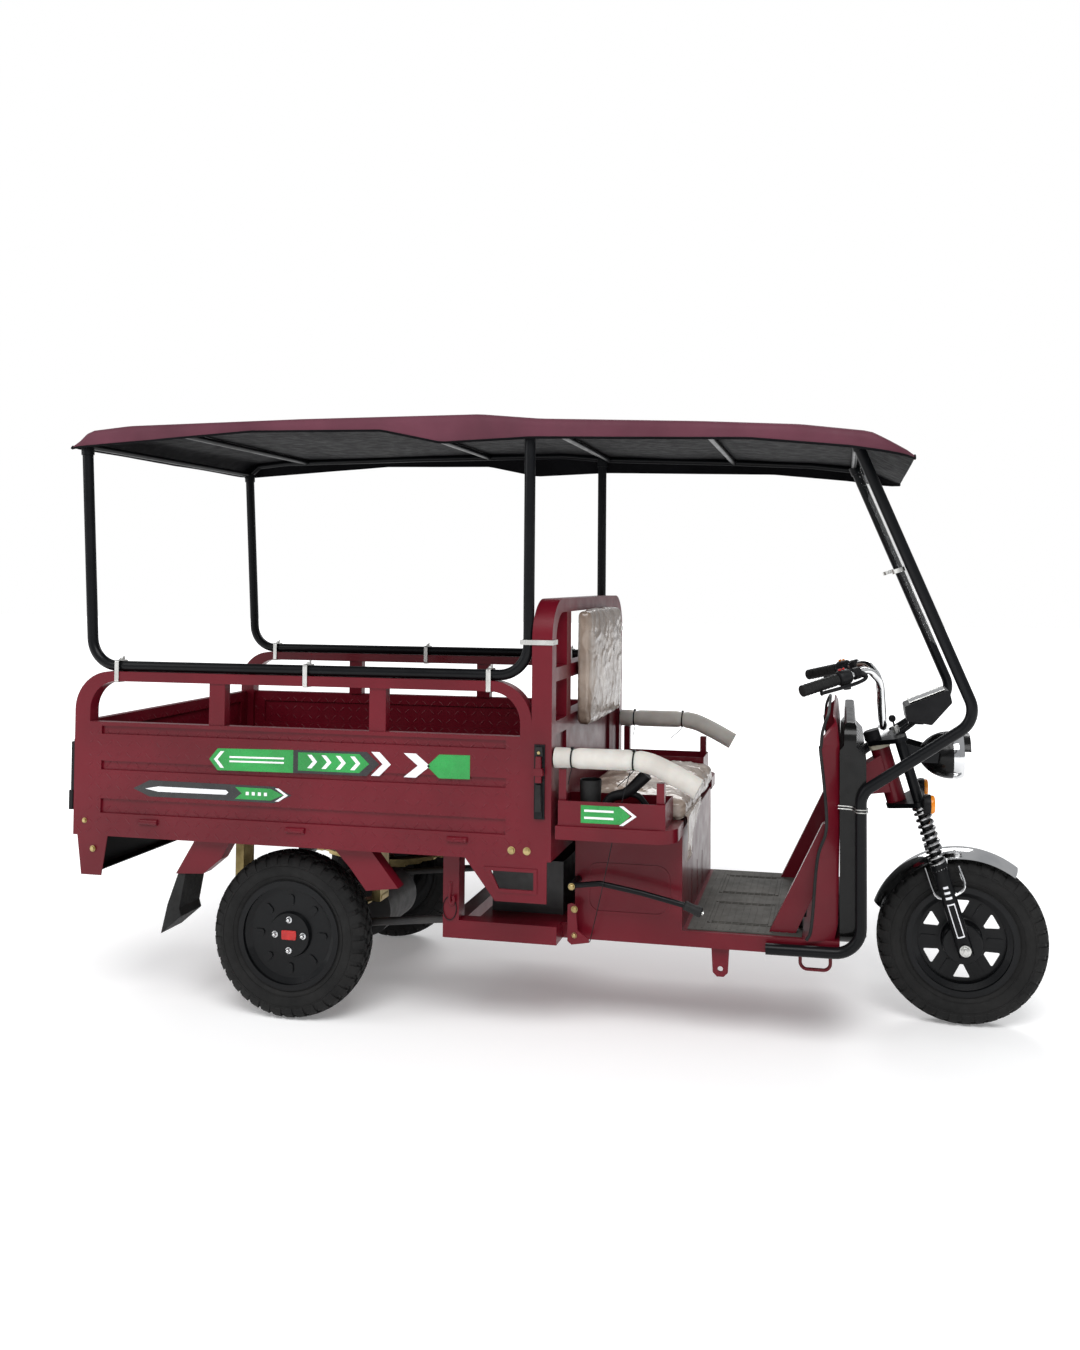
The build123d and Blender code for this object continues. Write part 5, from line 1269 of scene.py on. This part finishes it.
# Collars on the canopy's front pillars, half way up
collar_profile = ((-0.006, 0.0166), (-0.006, 0.0186), (0.006, 0.0186), (0.006, 0.0166))
pillar_r = 0.016
pillar_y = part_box("front_pillars")[1][1] - pillar_r
pillar_way = at(1893, 0, 1150) - at(1700, 0, 1730)
fitting("pillar_collars", zinc, "chassis", lathes=[
    (collar_profile, at(1816, side * pillar_y * 1000, 1381), pillar_way, 32) for side, _ in sides
])

# Latches at the bed's front corners: bottom, top, half width at the bottom and depth, in millimetres
latch_station, latch_y, latch_taper = 816, 513, 0.8
latch_groups = (
    ("latch_levers", crimson, ((772, 846, 9, 13), (792, 812, 15, 15))),
    ("latch_handles", soft_rubber, ((690, 766, 9, 12), (846, 872, 12, 6))),
)


def make_latches(name, made, rows):
    shape = Shape()
    for side, _ in sides:
        for low, high, half, depth in rows:
            outline = ((-half, low), (half, low), (half * latch_taper, high), (-half * latch_taper, high))
            corners = [at(latch_station + ahead, side * latch_y, z) for ahead, z in outline]
            shape.prism(corners, (0, side * depth / 1000, 0))
    shape.piece(name, made, "chassis", smooth=0)


for row in latch_groups:
    make_latches(*row)

# Bolts of the parking lever and its rocker plate
fitting("lever_bolts", brassy, "chassis", bolts=[
    (at(893, -432, 460), (0, -1, 0), 0.013, 0.007, 0.010),
    (at(893, -394, 384), (0, -1, 0), 0.013, 0.007, 0.010),
    (at(893, -394, 308), (0, -1, 0), *clamp_bolt),
])

# Studio: a flat pale floor that glows more strongly further from the middle, a pale world that shows white to the
# camera, and soft lamps
floor_half = 30.0
floor_corners = [(x * floor_half, y * floor_half, 0) for x, y in ((-1, -1), (1, -1), (1, 1), (-1, 1))]
floor_mesh = bpy.data.meshes.new("floor")
floor_mesh.from_pydata(floor_corners, [], [(0, 1, 2, 3)])
floor = bpy.data.objects.new("floor", floor_mesh)
bpy.context.scene.collection.objects.link(floor)
floor_material = Material("floor_paper", (0.9, 0.9, 0.9), 0.9)
floor_material.bump(floor_material.noise(40, 2), 0.0002)
floor_x, floor_y, _ = floor_material.axes()
squares = [floor_material.math("POWER", along, 2.0) for along in (floor_x, floor_y)]
away = floor_material.math("SQRT", floor_material.math("ADD", *squares))
floor_material.shader.inputs["Emission Color"].default_value = (1, 1, 1, 1)
glow = floor_material.value(away, 1.2, 6.0, 0.18, 1.0)
floor_material.link(glow, floor_material.shader.inputs["Emission Strength"])
floor_mesh.materials.append(floor_material.material)

world = bpy.data.worlds.new("studio")
bpy.context.scene.world = world
world.use_nodes = True
world_tree = world.node_tree
background = world_tree.nodes["Background"]
background.inputs["Color"].default_value = (0.84, 0.85, 0.87, 1)
background.inputs["Strength"].default_value = 0.5
white = world_tree.nodes.new("ShaderNodeBackground")
white.inputs["Color"].default_value = (1, 1, 1, 1)
white.inputs["Strength"].default_value = 1.0
path = world_tree.nodes.new("ShaderNodeLightPath")
mix = world_tree.nodes.new("ShaderNodeMixShader")
seen = world_tree.nodes.new("ShaderNodeMath")
seen.operation = "MAXIMUM"
world_tree.links.new(path.outputs["Is Camera Ray"], seen.inputs[0])
world_tree.links.new(path.outputs["Is Transmission Ray"], seen.inputs[1])
world_tree.links.new(seen.outputs["Value"], mix.inputs["Fac"])
world_tree.links.new(background.outputs["Background"], mix.inputs[1])
world_tree.links.new(white.outputs["Background"], mix.inputs[2])
world_tree.links.new(mix.outputs["Shader"], world_tree.nodes["World Output"].inputs["Surface"])


def lamp(name, place, target, size, watts):
    light = bpy.data.lights.new(name, "AREA")
    light.shape = "RECTANGLE"
    light.size, light.size_y = size
    light.energy = watts
    holder = bpy.data.objects.new(name, light)
    bpy.context.scene.collection.objects.link(holder)
    holder.location = place
    holder.rotation_euler = (Vector(target) - Vector(place)).to_track_quat("-Z", "Y").to_euler()


lamp("key_light", (1.0, -4.2, 5.6), (0, 0, 0.6), (4.5, 3.0), 330)
lamp("fill_light", (-4.5, -2.5, 3.4), (0, 0, 0.7), (3.0, 3.0), 70)
lamp("back_light", (0.5, 4.8, 5.0), (0, 0, 0.8), (4.0, 2.5), 170)

# Camera: the place, turn and lens fitted to the photograph of 1080 by 1350 pixels
photo_width, photo_height = 1080, 1350
sensor_width = 36
focal_pixels = 1097.4
principal_point = (618.18, 550.57)
camera_place = at(1666.5, -3546.7, 1348.8)
camera_yaw, camera_pitch, camera_roll = -0.203, 0.027, 0.006
sight = Vector((
    math.sin(camera_yaw) * math.cos(camera_pitch),
    math.cos(camera_yaw) * math.cos(camera_pitch),
    math.sin(camera_pitch),
))
level = Vector((math.cos(camera_yaw), -math.sin(camera_yaw), 0))
above = level.cross(sight)
image_right = level * math.cos(camera_roll) + above * math.sin(camera_roll)
image_up = above * math.cos(camera_roll) - level * math.sin(camera_roll)
camera_data = bpy.data.cameras.new("camera")
camera_data.sensor_width = sensor_width
camera_data.lens = focal_pixels * sensor_width / photo_height
camera_data.shift_x = (photo_width / 2 - principal_point[0]) / photo_height
camera_data.shift_y = (principal_point[1] - photo_height / 2) / photo_height
camera_data.clip_end = 60
camera = bpy.data.objects.new("camera", camera_data)
bpy.context.scene.collection.objects.link(camera)
camera_turn = Matrix((image_right, image_up, -sight)).transposed().to_4x4()
camera.matrix_world = Matrix.Translation(camera_place) @ camera_turn
bpy.context.scene.camera = camera
bpy.context.scene.view_settings.view_transform = "Standard"
